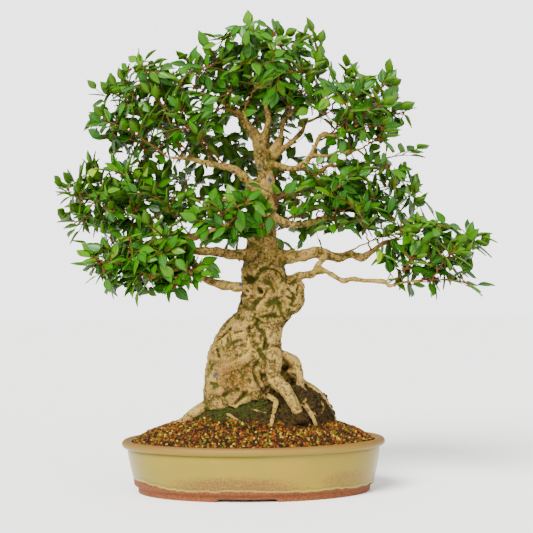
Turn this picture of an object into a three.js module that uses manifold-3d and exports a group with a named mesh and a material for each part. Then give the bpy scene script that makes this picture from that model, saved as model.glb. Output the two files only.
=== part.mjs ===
// Korean hornbeam bonsai in an oval stoneware pot: one grown body of wood, leafy sprays, a mound of
// granular soil, a mound of dark muck under the roots, and the pot with its drain meshes and wire clips.
// Millimetres, +Z up. Everything is laid out about the middle of the pot's foot, and at the end the whole
// is moved so that the origin lies on the ground under the middle of its outline.
import * as THREE from 'three';
import { mergeVertices } from 'three/addons/utils/BufferGeometryUtils.js';
import Module from 'manifold-3d';

const wasm = await Module();
wasm.setup();

// Pot: lengths are measured along the long axis, and the depth is the same amount less all round.
const POT_LENGTH = 400;
const POT_DEPTH = 300;
const POT_HEIGHT = 80;
const POT_SIDES = 24;
const LIP_HEIGHT = 11.5;
const LIP_REACH = 8;
const WALL_LEAN = 9;
const WALL_THICKNESS = 9;
const FOOT_STEP = 7;
const FOOT_WIDTH = 14;
const FOOT_HEIGHT = 5;
const FLOOR_THICKNESS = 6.5;
const RECESS_WIDTH = 92;
const RECESS_SLOPE = 5;
const RECESS_HEIGHT = 4.5;
const DRAIN_RADIUS = 14;
const DRAIN_SIDES = 16;
const DRAIN_OFFSET = 82;

// Drain mesh and the wire clip that holds it.
const MESH_SIZE = 44;
const MESH_THICKNESS = 1.2;
const MESH_HOLE = 11;
const MESH_PITCH = 16;
const WIRE_RADIUS = 0.8;
const WIRE_SIDES = 5;
const CLIP_FOOT = 6;

// Soil and muck.
const SOIL_RISE = 34;
const SOIL_EDGE_BELOW_LIP = 3;
// Muck: a wide low dome under the whole trunk, and a steep one at the right under the root arch.
const MUCK_DOMES = [
  { centre: [12, -2, 88], radii: [110, 92, 54] },
  { centre: [67, 2, 100], radii: [57, 66, 63] },
];
const MUCK_SEGMENTS = [13, 7];

// The root mass below the surface, which stands in a plain hole in the muck and the soil.
const ROOT_MASS = { points: [[-8, 0, 165], [-4, 0, 100], [2, 0, 45]], radii: [36, 24], sides: 8 };

// Gap that touching solids keep.
const GAP = 0.35;

// Leaves, true to size: an ovate blade with a drawn-out tip.
const LEAF_LENGTH = [23, 30];
const LEAF_WIDTH_SHARE = 0.52;
const LEAF_RIB = 1.5;
const LEAF_TWIST = 0.5;
const LEAF_DROOP = 0.1;
// Share of the length, and share of the half width there.
const LEAF_OUTLINE = [[0.3, 1], [0.68, 0.7]];
const LEAF_TRIES = 24;
const LEAF_CLEARANCE = 2.4;

// Twigs of a spray: radii at the start and the end, and shares of the length.
const STEM_RADII = [1.6, 1];
const STEM_LIFT = 0.1;
const STEM_STEPS = 3;
const STEM_PLACES = 40;
const STEM_SPACING = 0.1;
const STEM_BACK = 0.08;
const STEM_AT_END = 0.94;
const STEM_FREE_FROM = 6;
const STEM_CLEARANCE = 2.4;
const SIDE_TWIG_RADII = [0.9, 0.9];
const SIDE_TWIG_LENGTH = [26, 34];
const SIDE_TWIG_PLACES = [0.5, 0.75];
const SIDE_TWIG_ANGLE = 0.95;

// Where leaves stand: share of the twig, and its end (0), its left (-1) or its right (1).
const STEM_LEAF_PLACES = [[1, 0], [0.86, 1], [0.62, -1]];
const SIDE_LEAF_PLACES = [[1, 0], [0.5, 1]];
const LEAF_MIDDLE = 20;
const LEAF_FACING_OUT = 0.55;
const LEAF_ANGLE = 0.85;
const TURN_SPREAD = 0.5;
const LEAF_FACING_UP = [0.75, 1.05];
const LEAF_PITCH = [-0.2, 0.3];
const SEED = 20417;

const BARK = 0xb59a78;
const LEAF_GREEN = 0x4f8a1e;
const GLAZE = 0xc9bb78;
const SOIL_BROWN = 0x8a5a2e;
const MUCK_BROWN = 0x2f2a1c;
const PLASTIC_BLACK = 0x2b2b2b;
const WIRE_BROWN = 0x6e5138;

// Trunk sections: height, middle in x and y, half width, half depth.
const TRUNK_SECTIONS = [
  [100, -22, 0, 48, 42],
  [132, -21, 0, 52, 45],
  [152, -20, 0, 54, 47],
  [170, -18, 0, 55, 47],
  [188, -14, 0, 55, 46],
  [205, -11, 0, 53, 45],
  [222, -7, 0, 50, 44],
  [238, -3, 0, 47, 42],
  [252, 2, 0, 44, 40],
  [266, 10, 0, 41, 38],
  [282, 18, 0, 40, 37],
  [300, 22, 0, 39, 36],
  [318, 22, 0, 35, 33],
  [338, 20, 0, 31, 30],
  [362, 18, 1, 27, 25],
  [390, 20, 2, 22, 22],
  [424, 22, 1, 17, 17],
  [476, 25, -1, 14, 14],
  [535, 15, 0, 9, 9],
];
const TRUNK_SIDES = 15;
// The trunk's low flutes: how deep, how many round it, and the height in which they turn.
const FLUTES = [{ depth: 0.03, count: 3, turn: 35 }, { depth: 0.03, count: 5, turn: -16 }];

// Swellings of the trunk's skin: height, angle in degrees (0 right, -90 front), reach, and how far out.
const SWELLINGS = [
  [150, -130, 22, 8],
  [146, -100, 22, 8],
  [140, -70, 18, 8],
  [152, 130, 28, 12],
  [176, -60, 20, -7],
  [196, -110, 24, 6],
  [190, 60, 30, 12],
  [214, -35, 20, 7],
  [236, -165, 22, 9],
  [238, -20, 22, 8],
  [232, -75, 18, -6],
  [256, -100, 20, 5],
  [270, -160, 18, -8],
  [262, 110, 26, 8],
  [262, -15, 12, -8],
  [300, -110, 18, 5],
  [330, -140, 20, 6],
  [345, 60, 22, 6],
];

// Burls and knots that stand out from the trunk: middle and radii.
const LUMPS = [
  [[56, -2, 297], [28, 32, 32]],
  [[42, -4, 270], [20, 24, 22]],
  [[44, 18, 166], [27, 24, 38]],
  [[63, -16, 177], [10, 10, 9]],
];
const LUMP_SEGMENTS = [9, 6];

// Curled ridges round old cuts, on the front: middle, ring radius, thickness.
const CURLS = [
  [[10, -35, 299], 11, 5.5],
  [[36, -28, 323], 14, 6],
];
const CURL_SEGMENTS = [4, 8];

// Surface roots and the root arch: points, then the first and the last radius.
const ROOTS = [
  { points: [[36, -30, 212], [37, -45, 194], [34, -50, 177], [44, -54, 163], [56, -58, 152], [72, -66, 124]],
    radii: [10, 6.5] },
  { points: [[30, -10, 204], [48, -12, 204], [65, -14, 195], [71, -17, 180], [74, -20, 156], [77, -22, 130]],
    radii: [8, 5.5] },
  { points: [[62, 0, 178], [75, 4, 161], [94, 2, 150], [108, 0, 136], [124, 0, 104]], radii: [7.5, 4] },
  { points: [[-50, -8, 142], [-72, -12, 128], [-88, -16, 118], [-103, -18, 107], [-120, -20, 92]],
    radii: [10, 5] },
  { points: [[24, -34, 146], [38, -44, 138], [38, -60, 130], [35, -80, 110]], radii: [4.5, 2.8] },
  { points: [[74, -14, 156], [87, -28, 141], [82, -44, 133], [96, -62, 110]], radii: [4.5, 2.6] },
  { points: [[-20, 34, 148], [-44, 62, 129], [-66, 86, 104], [-74, 94, 84]], radii: [11, 5] },
  { points: [[34, 30, 160], [58, 58, 132], [80, 80, 106], [86, 86, 90]], radii: [10, 5] },
];
const ROOT_SIDES = 5;

// Leaders and branches: points, first and last radius, and the tips of the sprays that each one carries.
const BRANCHES = [
  { name: 'leader_left', radii: [9, 2.2],
    points: [[17, 0, 528], [4, 2, 548], [-7, 4, 562], [-19, 6, 576], [-34, 8, 589], [-56, 10, 601],
      [-81, 14, 610]],
    tips: [[-76, 0, 642], [-32, -60, 644], [-47, 65, 667]] },
  { name: 'leader_mid', radii: [6, 2],
    points: [[19, 0, 524], [27, -4, 546], [32, -8, 564], [28, -12, 582], [32, -16, 603], [39, -18, 626],
      [42, -20, 650]],
    tips: [[36, -10, 682], [50, 55, 689]] },
  { name: 'leader_right', radii: [4.5, 1.8],
    points: [[24, 2, 505], [47, 10, 529], [50, 16, 551], [53, 20, 564], [66, 26, 577], [81, 30, 598],
      [97, 34, 620]],
    tips: [[110, 25, 680], [87, -70, 632]] },
  { name: 'front_high', radii: [4.5, 2],
    points: [[22, -6, 508], [12, -34, 530], [4, -64, 548], [0, -88, 566]],
    tips: [[30, -120, 606], [-38, -118, 566]] },
  { name: 'back_high', radii: [5, 2],
    points: [[22, 6, 500], [26, 40, 528], [28, 78, 562], [32, 112, 592]],
    tips: [[-6, 150, 640], [72, 150, 620]] },
  { name: 'left_upper', radii: [9, 2.2],
    points: [[22, -2, 456], [6, -10, 461], [-5, -16, 473], [-18, -22, 484], [-38, -28, 491], [-65, -34, 496],
      [-91, -40, 503], [-118, -44, 504]],
    tips: [[-220, -30, 566], [-160, -10, 648], [-212, 30, 612], [-129, 76, 590], [-96, -92, 556]] },
  { name: 'left_mid', radii: [9, 2.2],
    points: [[10, 6, 403], [-19, 14, 402], [-45, 20, 398], [-72, 26, 390], [-96, 30, 387], [-134, 38, 395],
      [-161, 42, 393], [-195, 46, 404], [-227, 48, 411]],
    tips: [[-278, 38, 415], [-246, 20, 490], [-270, -14, 452], [-199, 92, 488], [-140, -76, 452]] },
  { name: 'back_left', radii: [7, 2.2],
    points: [[14, 12, 428], [-16, 44, 440], [-54, 78, 446], [-98, 108, 452], [-140, 130, 456]],
    tips: [[-222, 140, 448], [-110, 172, 500]] },
  { name: 'left_low', radii: [10, 2.2],
    points: [[14, -4, 362], [-7, -14, 358], [-29, -20, 358], [-56, -26, 363], [-81, -30, 364], [-99, -34, 369],
      [-121, -38, 366], [-147, -44, 354], [-177, -48, 348], [-203, -52, 355]],
    tips: [[-196, -98, 388], [-242, -40, 376], [-134, -104, 398]] },
  { name: 'left_bottom', radii: [8.5, 1.8],
    points: [[10, -24, 304], [-14, -34, 308], [-40, -40, 312], [-63, -46, 320], [-82, -50, 329],
      [-95, -54, 338], [-115, -60, 338], [-144, -68, 324], [-157, -72, 333], [-175, -76, 343]],
    tips: [[-216, -104, 346], [-88, -104, 330]] },
  { name: 'back_low', radii: [8, 2.2],
    points: [[20, 14, 356], [12, 50, 368], [2, 88, 374], [-6, 124, 382]],
    tips: [[-80, 168, 402], [62, 176, 408]] },
  { name: 'right_top', radii: [5.5, 2],
    points: [[22, 2, 498], [38, 6, 506], [54, 12, 521], [71, 18, 535], [83, 24, 549], [82, 28, 560],
      [96, 32, 564], [124, 38, 577]],
    tips: [[156, 20, 627], [139, 98, 604]] },
  { name: 'right_upper', radii: [6, 2],
    points: [[24, 0, 494], [41, -2, 492], [60, -6, 487], [81, -10, 488], [92, -12, 502], [100, -14, 515],
      [108, -16, 531], [116, -18, 538], [129, -22, 532], [147, -26, 538], [170, -30, 549]],
    tips: [[212, -30, 612], [204, -82, 570], [235, 6, 570]] },
  { name: 'right_fork', radii: [3, 1.8],
    points: [[93, -12, 503], [106, -18, 505], [121, -22, 503], [138, -26, 510], [147, -28, 506],
      [172, -34, 512]],
    tips: [[206, -50, 526]] },
  { name: 'right_under', radii: [3.8, 1.8],
    points: [[80, -9, 488], [95, -4, 482], [108, 0, 480], [120, 4, 491], [135, 8, 490], [168, 14, 490],
      [198, 18, 498]],
    tips: [[244, 24, 506]] },
  { name: 'right_mid', radii: [7, 2.2],
    points: [[26, 0, 421], [43, 4, 410], [60, 10, 403], [79, 18, 402], [100, 26, 408], [125, 34, 420],
      [155, 42, 428], [186, 48, 434]],
    tips: [[113, -28, 456], [169, 74, 480], [240, 40, 458]] },
  { name: 'right_main', radii: [12, 2.4],
    points: [[30, 0, 352], [60, 2, 353], [83, 6, 355], [104, 10, 361], [116, 12, 355], [135, 14, 351],
      [151, 14, 356], [168, 12, 349], [183, 8, 358], [203, 5, 372], [227, 0, 379]],
    tips: [[255, -4, 427], [168, -62, 410], [288, 34, 388], [232, -62, 384]] },
  { name: 'back_right', radii: [7, 2.2],
    points: [[28, 10, 440], [58, 42, 452], [92, 74, 462], [122, 100, 470]],
    tips: [[196, 140, 486], [104, 166, 524]] },
  { name: 'right_low', radii: [6, 1.6],
    points: [[54, -6, 316], [76, -10, 324], [94, -12, 326], [108, -18, 333], [124, -22, 325],
      [141, -26, 315], [154, -28, 318], [173, -30, 315], [202, -34, 314], [208, -36, 306], [219, -40, 309],
      [243, -46, 313], [269, -50, 311]],
    tips: [[304, -64, 356], [336, -52, 306], [250, -84, 344]] },
  { name: 'right_bridge', radii: [4.6, 4.6],
    points: [[99, -15, 330], [104, -12, 340], [111, -3, 350], [118, 8, 356]],
    tips: [] },
  { name: 'front_left', radii: [5, 2],
    points: [[14, -14, 374], [-2, -42, 386], [-16, -68, 396], [-26, -88, 404]],
    tips: [[-36, -128, 422]] },
  { name: 'front_right', radii: [4.5, 2],
    points: [[26, -10, 402], [36, -40, 410], [42, -66, 418], [46, -86, 424]],
    tips: [[48, -122, 440]] },
];
const THICK_BRANCH = 6.5;
const BRANCH_SIDES = { thick: 5, thin: 4 };

// A closed three.js geometry as a solid, with shared corners merged and collapsed faces dropped.
function solid(geometry) {
  const bare = new THREE.BufferGeometry();
  bare.setAttribute('position', geometry.getAttribute('position'));
  bare.setIndex(geometry.index);
  const merged = mergeVertices(bare, 1e-4);
  const corners = Array.from(merged.index.array);
  const kept = [];
  for (let i = 0; i < corners.length; i += 3) {
    const [a, b, c] = corners.slice(i, i + 3);
    if (a !== b && b !== c && c !== a) kept.push(a, b, c);
  }
  return new wasm.Manifold(new wasm.Mesh({
    numProp: 3,
    vertProperties: merged.attributes.position.array,
    triVerts: new Uint32Array(kept),
  }));
}

function union(solids) {
  return solids.reduce((whole, next) => whole.add(next));
}

// The largest body of a solid that a cut left in pieces.
function largest(body) {
  const pieces = body.decompose();
  return pieces.reduce((best, next) => (next.volume() > best.volume() ? next : best));
}

function geometryOf(body) {
  const mesh = body.getMesh();
  const geometry = new THREE.BufferGeometry();
  geometry.setAttribute('position', new THREE.BufferAttribute(mesh.vertProperties.slice(), 3));
  geometry.setIndex(new THREE.BufferAttribute(mesh.triVerts.slice(), 1));
  geometry.computeVertexNormals();
  return geometry;
}

function named(name, body, color, roughness, metalness = 0) {
  const material = new THREE.MeshStandardMaterial({ color, roughness, metalness });
  const mesh = new THREE.Mesh(geometryOf(body), material);
  mesh.name = name;
  return mesh;
}

// Moves every vertex of a geometry by a function of its place.
function reshape(geometry, move) {
  const position = geometry.getAttribute('position');
  const point = new THREE.Vector3();
  for (let i = 0; i < position.count; i += 1) {
    point.fromBufferAttribute(position, i);
    move(point);
    position.setXYZ(i, point.x, point.y, point.z);
  }
  return geometry;
}

function random(seed) {
  let state = seed >>> 0;
  return () => {
    state = (state + 0x6d2b79f5) >>> 0;
    let t = state;
    t = Math.imul(t ^ (t >>> 15), t | 1);
    t ^= t + Math.imul(t ^ (t >>> 7), t | 61);
    return ((t ^ (t >>> 14)) >>> 0) / 4294967296;
  };
}

function vector(point) {
  return new THREE.Vector3(...point);
}

function route(points) {
  return new THREE.CatmullRomCurve3(points.map(vector), false, 'catmullrom', 0.5);
}

function mix(range, share) {
  return range[0] + (range[1] - range[0]) * share;
}

// A closed skin over rings of as many points each, with flat ends.
function skin(rings) {
  const sides = rings[0].length;
  const index = [];
  for (let ring = 1; ring < rings.length; ring += 1) {
    for (let side = 0; side < sides; side += 1) {
      const [a, b] = [side, (side + 1) % sides].map((i) => (ring - 1) * sides + i);
      index.push(a, b, b + sides, a, b + sides, a + sides);
    }
  }
  const end = (rings.length - 1) * sides;
  for (let side = 1; side < sides - 1; side += 1) {
    index.push(0, side + 1, side, end, end + side, end + side + 1);
  }
  const geometry = new THREE.BufferGeometry();
  geometry.setAttribute('position', new THREE.Float32BufferAttribute(rings.flat().flatMap((p) => p.toArray()), 3));
  geometry.setIndex(index);
  return solid(geometry);
}

// The heading of a line of points at one of them, and the place and heading at a share of the line.
function headingAt(points, i) {
  const last = points.length - 1;
  return points[Math.min(i + 1, last)].clone().sub(points[Math.max(i - 1, 0)]).normalize();
}

function placeOn(points, share) {
  const place = share * (points.length - 1);
  const i = Math.min(Math.floor(place), points.length - 2);
  return {
    point: points[i].clone().lerp(points[i + 1], place - i),
    heading: points[i + 1].clone().sub(points[i]).normalize(),
  };
}

// Rings of a tapering limb round a line of points. The first corners lie on the side that is asked for.
const ANY_SIDE = [0.3, 0.9, 0.1];

function limbRings(points, radii, sides, grow = 0, firstSide = vector(ANY_SIDE)) {
  const last = points.length - 1;
  let across = firstSide;
  return points.map((point, i) => {
    const heading = headingAt(points, i);
    across = across.clone().addScaledVector(heading, -across.dot(heading)).normalize();
    const other = new THREE.Vector3().crossVectors(heading, across);
    const end = (i === 0 ? -1 : 0) + (i === last ? 1 : 0);
    const middle = point.clone().addScaledVector(heading, end * grow);
    const radius = mix(radii, i / last) + grow;
    return Array.from({ length: sides }, (_, side) => {
      const angle = (side / sides) * 2 * Math.PI;
      return middle.clone()
        .addScaledVector(across, Math.cos(angle) * radius)
        .addScaledVector(other, Math.sin(angle) * radius);
    });
  });
}

// Growing a limb makes the seat or the hole that it stands in.
function limb(points, radii, sides, grow = 0) {
  return skin(limbRings(points, radii, sides, grow));
}

// Pot: its long half length gives the half depth there, and the floor's middle shrinks evenly.
const DEPTH_LESS = (POT_LENGTH - POT_DEPTH) / 2;
const FLOOR_BEND = 150;

function halfDepth(half) {
  return half > FLOOR_BEND ? half - DEPTH_LESS : half * (1 - DEPTH_LESS / FLOOR_BEND);
}

function ovalLathe(profile, sides) {
  const points = profile.map(([r, z]) => new THREE.Vector2(r, z));
  const turned = new THREE.LatheGeometry(points, sides).rotateX(Math.PI / 2);
  return reshape(turned, (point) => {
    const half = Math.hypot(point.x, point.y);
    if (half > 1e-6) point.y *= halfDepth(half) / half;
  });
}

function prism(outline, depth) {
  const shape = new THREE.Shape(outline.map(([x, y]) => new THREE.Vector2(x, y)));
  return new THREE.ExtrudeGeometry(shape, { depth, bevelEnabled: false });
}

const LIP_HALF = POT_LENGTH / 2;
const WALL_TOP = LIP_HALF - LIP_REACH;
const WALL_FOOT = WALL_TOP - WALL_LEAN;
const FOOT_HALF = WALL_FOOT - FOOT_STEP;
const FLOOR_TOP = FOOT_HEIGHT + FLOOR_THICKNESS;
const LIP_UNDER = POT_HEIGHT - LIP_HEIGHT;
const INNER_TOP = WALL_TOP - WALL_THICKNESS;
const INNER_FOOT = WALL_FOOT - WALL_THICKNESS;

function makePot() {
  const profile = [
    [0, FOOT_HEIGHT], [FOOT_HALF - FOOT_WIDTH - 1.5, FOOT_HEIGHT], [FOOT_HALF - FOOT_WIDTH, 0],
    [FOOT_HALF, 0], [FOOT_HALF + 0.5, FLOOR_TOP - 3], [WALL_FOOT - 1.5, FLOOR_TOP + 1],
    [WALL_FOOT, FLOOR_TOP + 8], [WALL_TOP, LIP_UNDER - 3], [WALL_TOP - 1, LIP_UNDER - 1],
    [LIP_HALF - 2.5, LIP_UNDER], [LIP_HALF, LIP_UNDER + 5], [LIP_HALF - 1.5, POT_HEIGHT - 2],
    [LIP_HALF - 6, POT_HEIGHT], [INNER_TOP + 3, POT_HEIGHT - 1.5], [INNER_TOP, LIP_UNDER],
    [INNER_FOOT, FLOOR_TOP + 8], [INNER_FOOT - 9, FLOOR_TOP], [0, FLOOR_TOP],
  ];
  let pot = solid(ovalLathe(profile, POT_SIDES));
  const low = RECESS_WIDTH / 2;
  const high = low - RECESS_SLOPE;
  const recess = prism([[-low, -1], [low, -1], [low, 0], [high, RECESS_HEIGHT], [-high, RECESS_HEIGHT],
    [-low, 0]], POT_DEPTH);
  recess.rotateX(Math.PI / 2).translate(0, POT_DEPTH / 2, 0);
  pot = pot.subtract(solid(recess));
  for (const side of [-1, 1]) {
    const drain = new THREE.CylinderGeometry(DRAIN_RADIUS, DRAIN_RADIUS, POT_HEIGHT, DRAIN_SIDES);
    drain.rotateX(Math.PI / 2).translate(side * DRAIN_OFFSET, 0, 0);
    pot = pot.subtract(solid(drain));
  }
  return pot;
}

function makeMesh(side) {
  const plate = new THREE.BoxGeometry(MESH_SIZE, MESH_SIZE, MESH_THICKNESS);
  const height = FLOOR_TOP + GAP + MESH_THICKNESS / 2;
  let mesh = solid(plate.translate(side * DRAIN_OFFSET, 0, height));
  for (const row of [-0.5, 0.5]) {
    for (const column of [-0.5, 0.5]) {
      const hole = new THREE.BoxGeometry(MESH_HOLE, MESH_HOLE, 4 * MESH_THICKNESS);
      hole.translate(side * DRAIN_OFFSET + column * MESH_PITCH, row * MESH_PITCH, height);
      mesh = mesh.subtract(solid(hole));
    }
  }
  return mesh;
}

// The clip crosses the mesh, comes down through it and the drain, and turns out under the floor.
function makeClip(side) {
  const over = FLOOR_TOP + 2 * GAP + MESH_THICKNESS + WIRE_RADIUS;
  const under = FOOT_HEIGHT - GAP - WIRE_RADIUS;
  const leg = MESH_PITCH / 2;
  const half = [[leg, over], [leg, under], [DRAIN_RADIUS + CLIP_FOOT, under]];
  const left = half.map(([x, z]) => [-x, z]).reverse();
  const points = [...left, ...half].map(([x, z]) => [side * DRAIN_OFFSET + x, leg, z]);
  return limb(points.map(vector), [WIRE_RADIUS, WIRE_RADIUS], WIRE_SIDES);
}

const SOIL_EDGE = POT_HEIGHT - SOIL_EDGE_BELOW_LIP;

function makeSoil(raise = 0) {
  const edge = INNER_TOP - GAP;
  const profile = [[0, FLOOR_TOP + GAP], [INNER_FOOT - 9 - GAP, FLOOR_TOP + GAP],
    [INNER_FOOT - GAP, FLOOR_TOP + 8 + GAP], [edge, LIP_UNDER], [edge, SOIL_EDGE + raise]];
  for (const share of [0.88, 0.66, 0.4, 0]) {
    profile.push([edge * share, SOIL_EDGE + SOIL_RISE * (1 - share ** 4) + raise]);
  }
  const mound = ovalLathe(profile, POT_SIDES);
  return solid(reshape(mound, (point) => {
    if (point.z > SOIL_EDGE + raise + 1) point.z += 1.6 * Math.sin(point.x / 17) * Math.cos(point.y / 13);
  }));
}

function lump(middle, radii) {
  const ball = new THREE.SphereGeometry(1, ...LUMP_SEGMENTS);
  return solid(reshape(ball, (point) => {
    const bump = 1 + 0.08 * Math.sin(4 * point.x + 3 * point.y + middle[0])
      + 0.06 * Math.sin(5 * point.z - 2 * point.x);
    point.multiply(vector(radii)).multiplyScalar(bump).add(vector(middle));
  }));
}

// The trunk's own column, twisted and bumped by a formula.
function column() {
  const steps = TRUNK_SECTIONS.length - 1;
  const tube = new THREE.CylinderGeometry(1, 1, 1, TRUNK_SIDES, steps);
  return solid(reshape(tube, (point) => {
    const [z, x, y, width, depth] = TRUNK_SECTIONS[Math.round((point.y + 0.5) * steps)];
    const angle = Math.atan2(point.z, point.x);
    let rough = 0;
    for (const flute of FLUTES) rough += flute.depth * Math.sin(flute.count * angle + z / flute.turn);
    const turned = THREE.MathUtils.radToDeg(-angle);
    let swell = 0;
    for (const [height, heading, reach, out] of SWELLINGS) {
      const away = THREE.MathUtils.euclideanModulo(turned - heading + 180, 360) - 180;
      const aside = THREE.MathUtils.degToRad(away) * width;
      swell += out * Math.exp(-(aside ** 2 + (z - height) ** 2) / reach ** 2);
    }
    const onRim = Math.hypot(point.x, point.z) > 0.5 ? 1 : 0;
    const [wide, deep] = [width, depth].map((half) => onRim * (half * (1 + rough) + swell));
    point.set(x + Math.cos(angle) * wide, y - Math.sin(angle) * deep, z);
  }));
}

function rootMass(grow = 0) {
  return limb(ROOT_MASS.points.map(vector), ROOT_MASS.radii, ROOT_MASS.sides, grow);
}

// The domes of dark muck before the soil and the root mass are cut out of them.
function muckDomes(grow = 0) {
  return union(MUCK_DOMES.map(({ centre, radii }) => {
    const ball = new THREE.SphereGeometry(1, ...MUCK_SEGMENTS).rotateX(Math.PI / 2);
    return solid(reshape(ball, (point) => {
      const bump = 1 + 0.03 * Math.sin(7 * point.x + 2) + 0.03 * Math.sin(8 * point.y);
      point.set(...radii.map((radius, i) => centre[i] + point.getComponent(i) * (radius * bump + grow)));
    }));
  }));
}

// A branch's middle line, with fewer rings than its route has points where the route is long.
function branchLine(branch) {
  return route(branch.points).getPoints(Math.max(3, branch.points.length - 3));
}

function branchLimb(branch, grow = 0) {
  const sides = branch.radii[0] >= THICK_BRANCH ? BRANCH_SIDES.thick : BRANCH_SIDES.thin;
  return limb(branchLine(branch), branch.radii, sides, grow);
}

// All the wood: what shows above the ground ends at its surface, and the root mass goes on below.
function makeTrunk() {
  const roots = ROOTS.map(({ points, radii }) => limb(points.map(vector), radii, ROOT_SIDES));
  const lumps = LUMPS.map(([middle, radii]) => lump(middle, radii));
  const curls = CURLS.map(([middle, ring, thickness]) => {
    const torus = new THREE.TorusGeometry(ring, thickness, ...CURL_SEGMENTS);
    torus.rotateX(Math.PI / 2).translate(...middle);
    return solid(torus);
  });
  const branches = BRANCHES.map((branch) => branchLimb(branch));
  const above = union([column(), ...lumps, ...curls, ...roots]);
  const cut = largest(above.subtract(muckDomes(GAP)).subtract(makeSoil(GAP)));
  return union([cut, rootMass(), ...branches]);
}

// A stretch of wood that leaves and side twigs keep clear of, with points so close along it that no
// leaf passes between them.
function stretch(from, to, radius) {
  const count = Math.ceil(from.distanceTo(to) / PROBE_STEP) + 1;
  const points = Array.from({ length: count + 1 }, (_, i) => from.clone().lerp(to, i / count));
  return { from, to, radius, points };
}

function stretches(points, radii) {
  const steps = points.length - 1;
  return points.slice(1).map((point, i) => stretch(points[i], point, mix(radii, i / steps)));
}

function woodStretches() {
  const found = [];
  for (let i = 1; i < TRUNK_SECTIONS.length; i += 1) {
    const [z, x, y, width] = TRUNK_SECTIONS[i - 1];
    const [nextZ, nextX, nextY] = TRUNK_SECTIONS[i];
    found.push(stretch(vector([x, y, z]), vector([nextX, nextY, nextZ]), width * 1.08));
  }
  for (const [middle, radii] of LUMPS) {
    found.push(stretch(vector(middle), vector(middle), Math.max(...radii)));
  }
  for (const branch of BRANCHES) found.push(...stretches(branchLine(branch), branch.radii));
  return found;
}

function distanceTo(piece, point) {
  const line = piece.to.clone().sub(piece.from);
  const length = line.lengthSq();
  const share = length > 0 ? point.clone().sub(piece.from).dot(line) / length : 0;
  const near = piece.from.clone().addScaledVector(line, Math.min(1, Math.max(0, share)));
  return near.distanceTo(point) - piece.radius;
}

// Whether a stem keeps clear of the wood once it is out of its branch.
function isFree(points, wood, branchRadius) {
  const free = stretches(points, STEM_RADII).flatMap((piece) => piece.points)
    .filter((point) => point.distanceTo(points[0]) > branchRadius + STEM_FREE_FROM);
  return free.every((point) => wood.every((piece) => distanceTo(piece, point) > STEM_CLEARANCE));
}

// A spray's stem: from the middle of its branch, a little behind the place that is nearest to its tip,
// in an arch out to the tip. It starts further back where it would meet other wood or another stem.
function stemOf(branch, tip, wood, taken) {
  const line = branchLine(branch);
  const places = Array.from({ length: STEM_PLACES }, (_, i) => (i + 1) / STEM_PLACES);
  const reach = (share) => placeOn(line, share).point.distanceTo(tip);
  const nearest = places.reduce((best, share) => (reach(share) < reach(best) ? share : best));
  const first = nearest > STEM_AT_END ? 1 : Math.max(STEM_SPACING, nearest - STEM_BACK);
  const arches = places
    .filter((share) => share <= first && taken.every((other) => Math.abs(other - share) > STEM_SPACING))
    .reverse()
    .map((share) => {
      const { point } = placeOn(line, share);
      const lift = new THREE.Vector3(0, 0, STEM_LIFT * point.distanceTo(tip));
      const knee = point.clone().lerp(tip, 0.5).add(lift);
      return { share, points: new THREE.QuadraticBezierCurve3(point, knee, tip).getPoints(STEM_STEPS) };
    });
  const isClear = ({ share, points }) => isFree(points, wood, mix(branch.radii, share));
  const stem = arches.find(isClear) ?? arches[0];
  taken.push(stem.share);
  return stem.points;
}

// A leaf's own axes: along the blade, across it, and out of its upper face.
function leafAxes(direction, facing) {
  const along = direction.clone().normalize();
  const up = facing.clone().addScaledVector(along, -facing.dot(along)).normalize();
  return { along, up, across: new THREE.Vector3().crossVectors(along, up) };
}

function halfWidthAt(leaf, share) {
  const knots = [[0, 0], ...LEAF_OUTLINE, [1, 0]];
  for (let i = 1; i < knots.length; i += 1) {
    const [a, wide] = knots[i - 1];
    const [b, next] = knots[i];
    if (share <= b) return leaf.halfWidth * (wide + ((next - wide) * (share - a)) / (b - a));
  }
  return 0;
}

function leafPoint(leaf, share, side) {
  const across = side * halfWidthAt(leaf, share);
  const rise = LEAF_TWIST * across * (share - 0.4) - LEAF_DROOP * leaf.length * share * share;
  return leaf.base.clone()
    .addScaledVector(leaf.axes.along, share * leaf.length)
    .addScaledVector(leaf.axes.across, across)
    .addScaledVector(leaf.axes.up, rise);
}

const PROBE_SHARES = [0.3, 0.5, 0.75];
const PROBE_STEP = 2.5;
const THIN_WOOD = 6;
const WOOD_CLEARANCE = 2.2;
const TWIG_CLEARANCE = 3;

function leafProbes(leaf) {
  const found = [leafPoint(leaf, 1, 0)];
  for (const share of PROBE_SHARES) {
    for (const side of [-1, 0, 1]) found.push(leafPoint(leaf, share, side));
  }
  return found;
}

// Whether a point lies on another leaf or close above or below it.
function touches(leaf, point, margin) {
  const offset = point.clone().sub(leaf.base);
  const share = offset.dot(leaf.axes.along) / leaf.length;
  if (share < -0.05 || share > 1.08) return false;
  const middle = -LEAF_DROOP * leaf.length * share * share;
  if (Math.abs(offset.dot(leaf.axes.up) - middle) > margin) return false;
  const across = Math.abs(offset.dot(leaf.axes.across));
  return across < halfWidthAt(leaf, Math.min(1, Math.max(0, share))) + margin;
}

// Whether a leaf keeps clear of a stretch of wood. Near its root it may touch the twig that carries it.
function clears(leaf, piece, carriesIt) {
  if (distanceTo(piece, leaf.base) > 1.2 * leaf.length) return true;
  const skip = carriesIt ? 0.62 * leaf.length : 0;
  const far = (point) => point.distanceTo(leaf.base) > skip;
  if (leaf.probes.some((point) => far(point) && distanceTo(piece, point) < WOOD_CLEARANCE)) return false;
  if (piece.radius > THIN_WOOD) return true;
  const margin = piece.radius + WOOD_CLEARANCE;
  return !piece.points.some((point) => far(point) && touches(leaf, point, margin));
}

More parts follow.
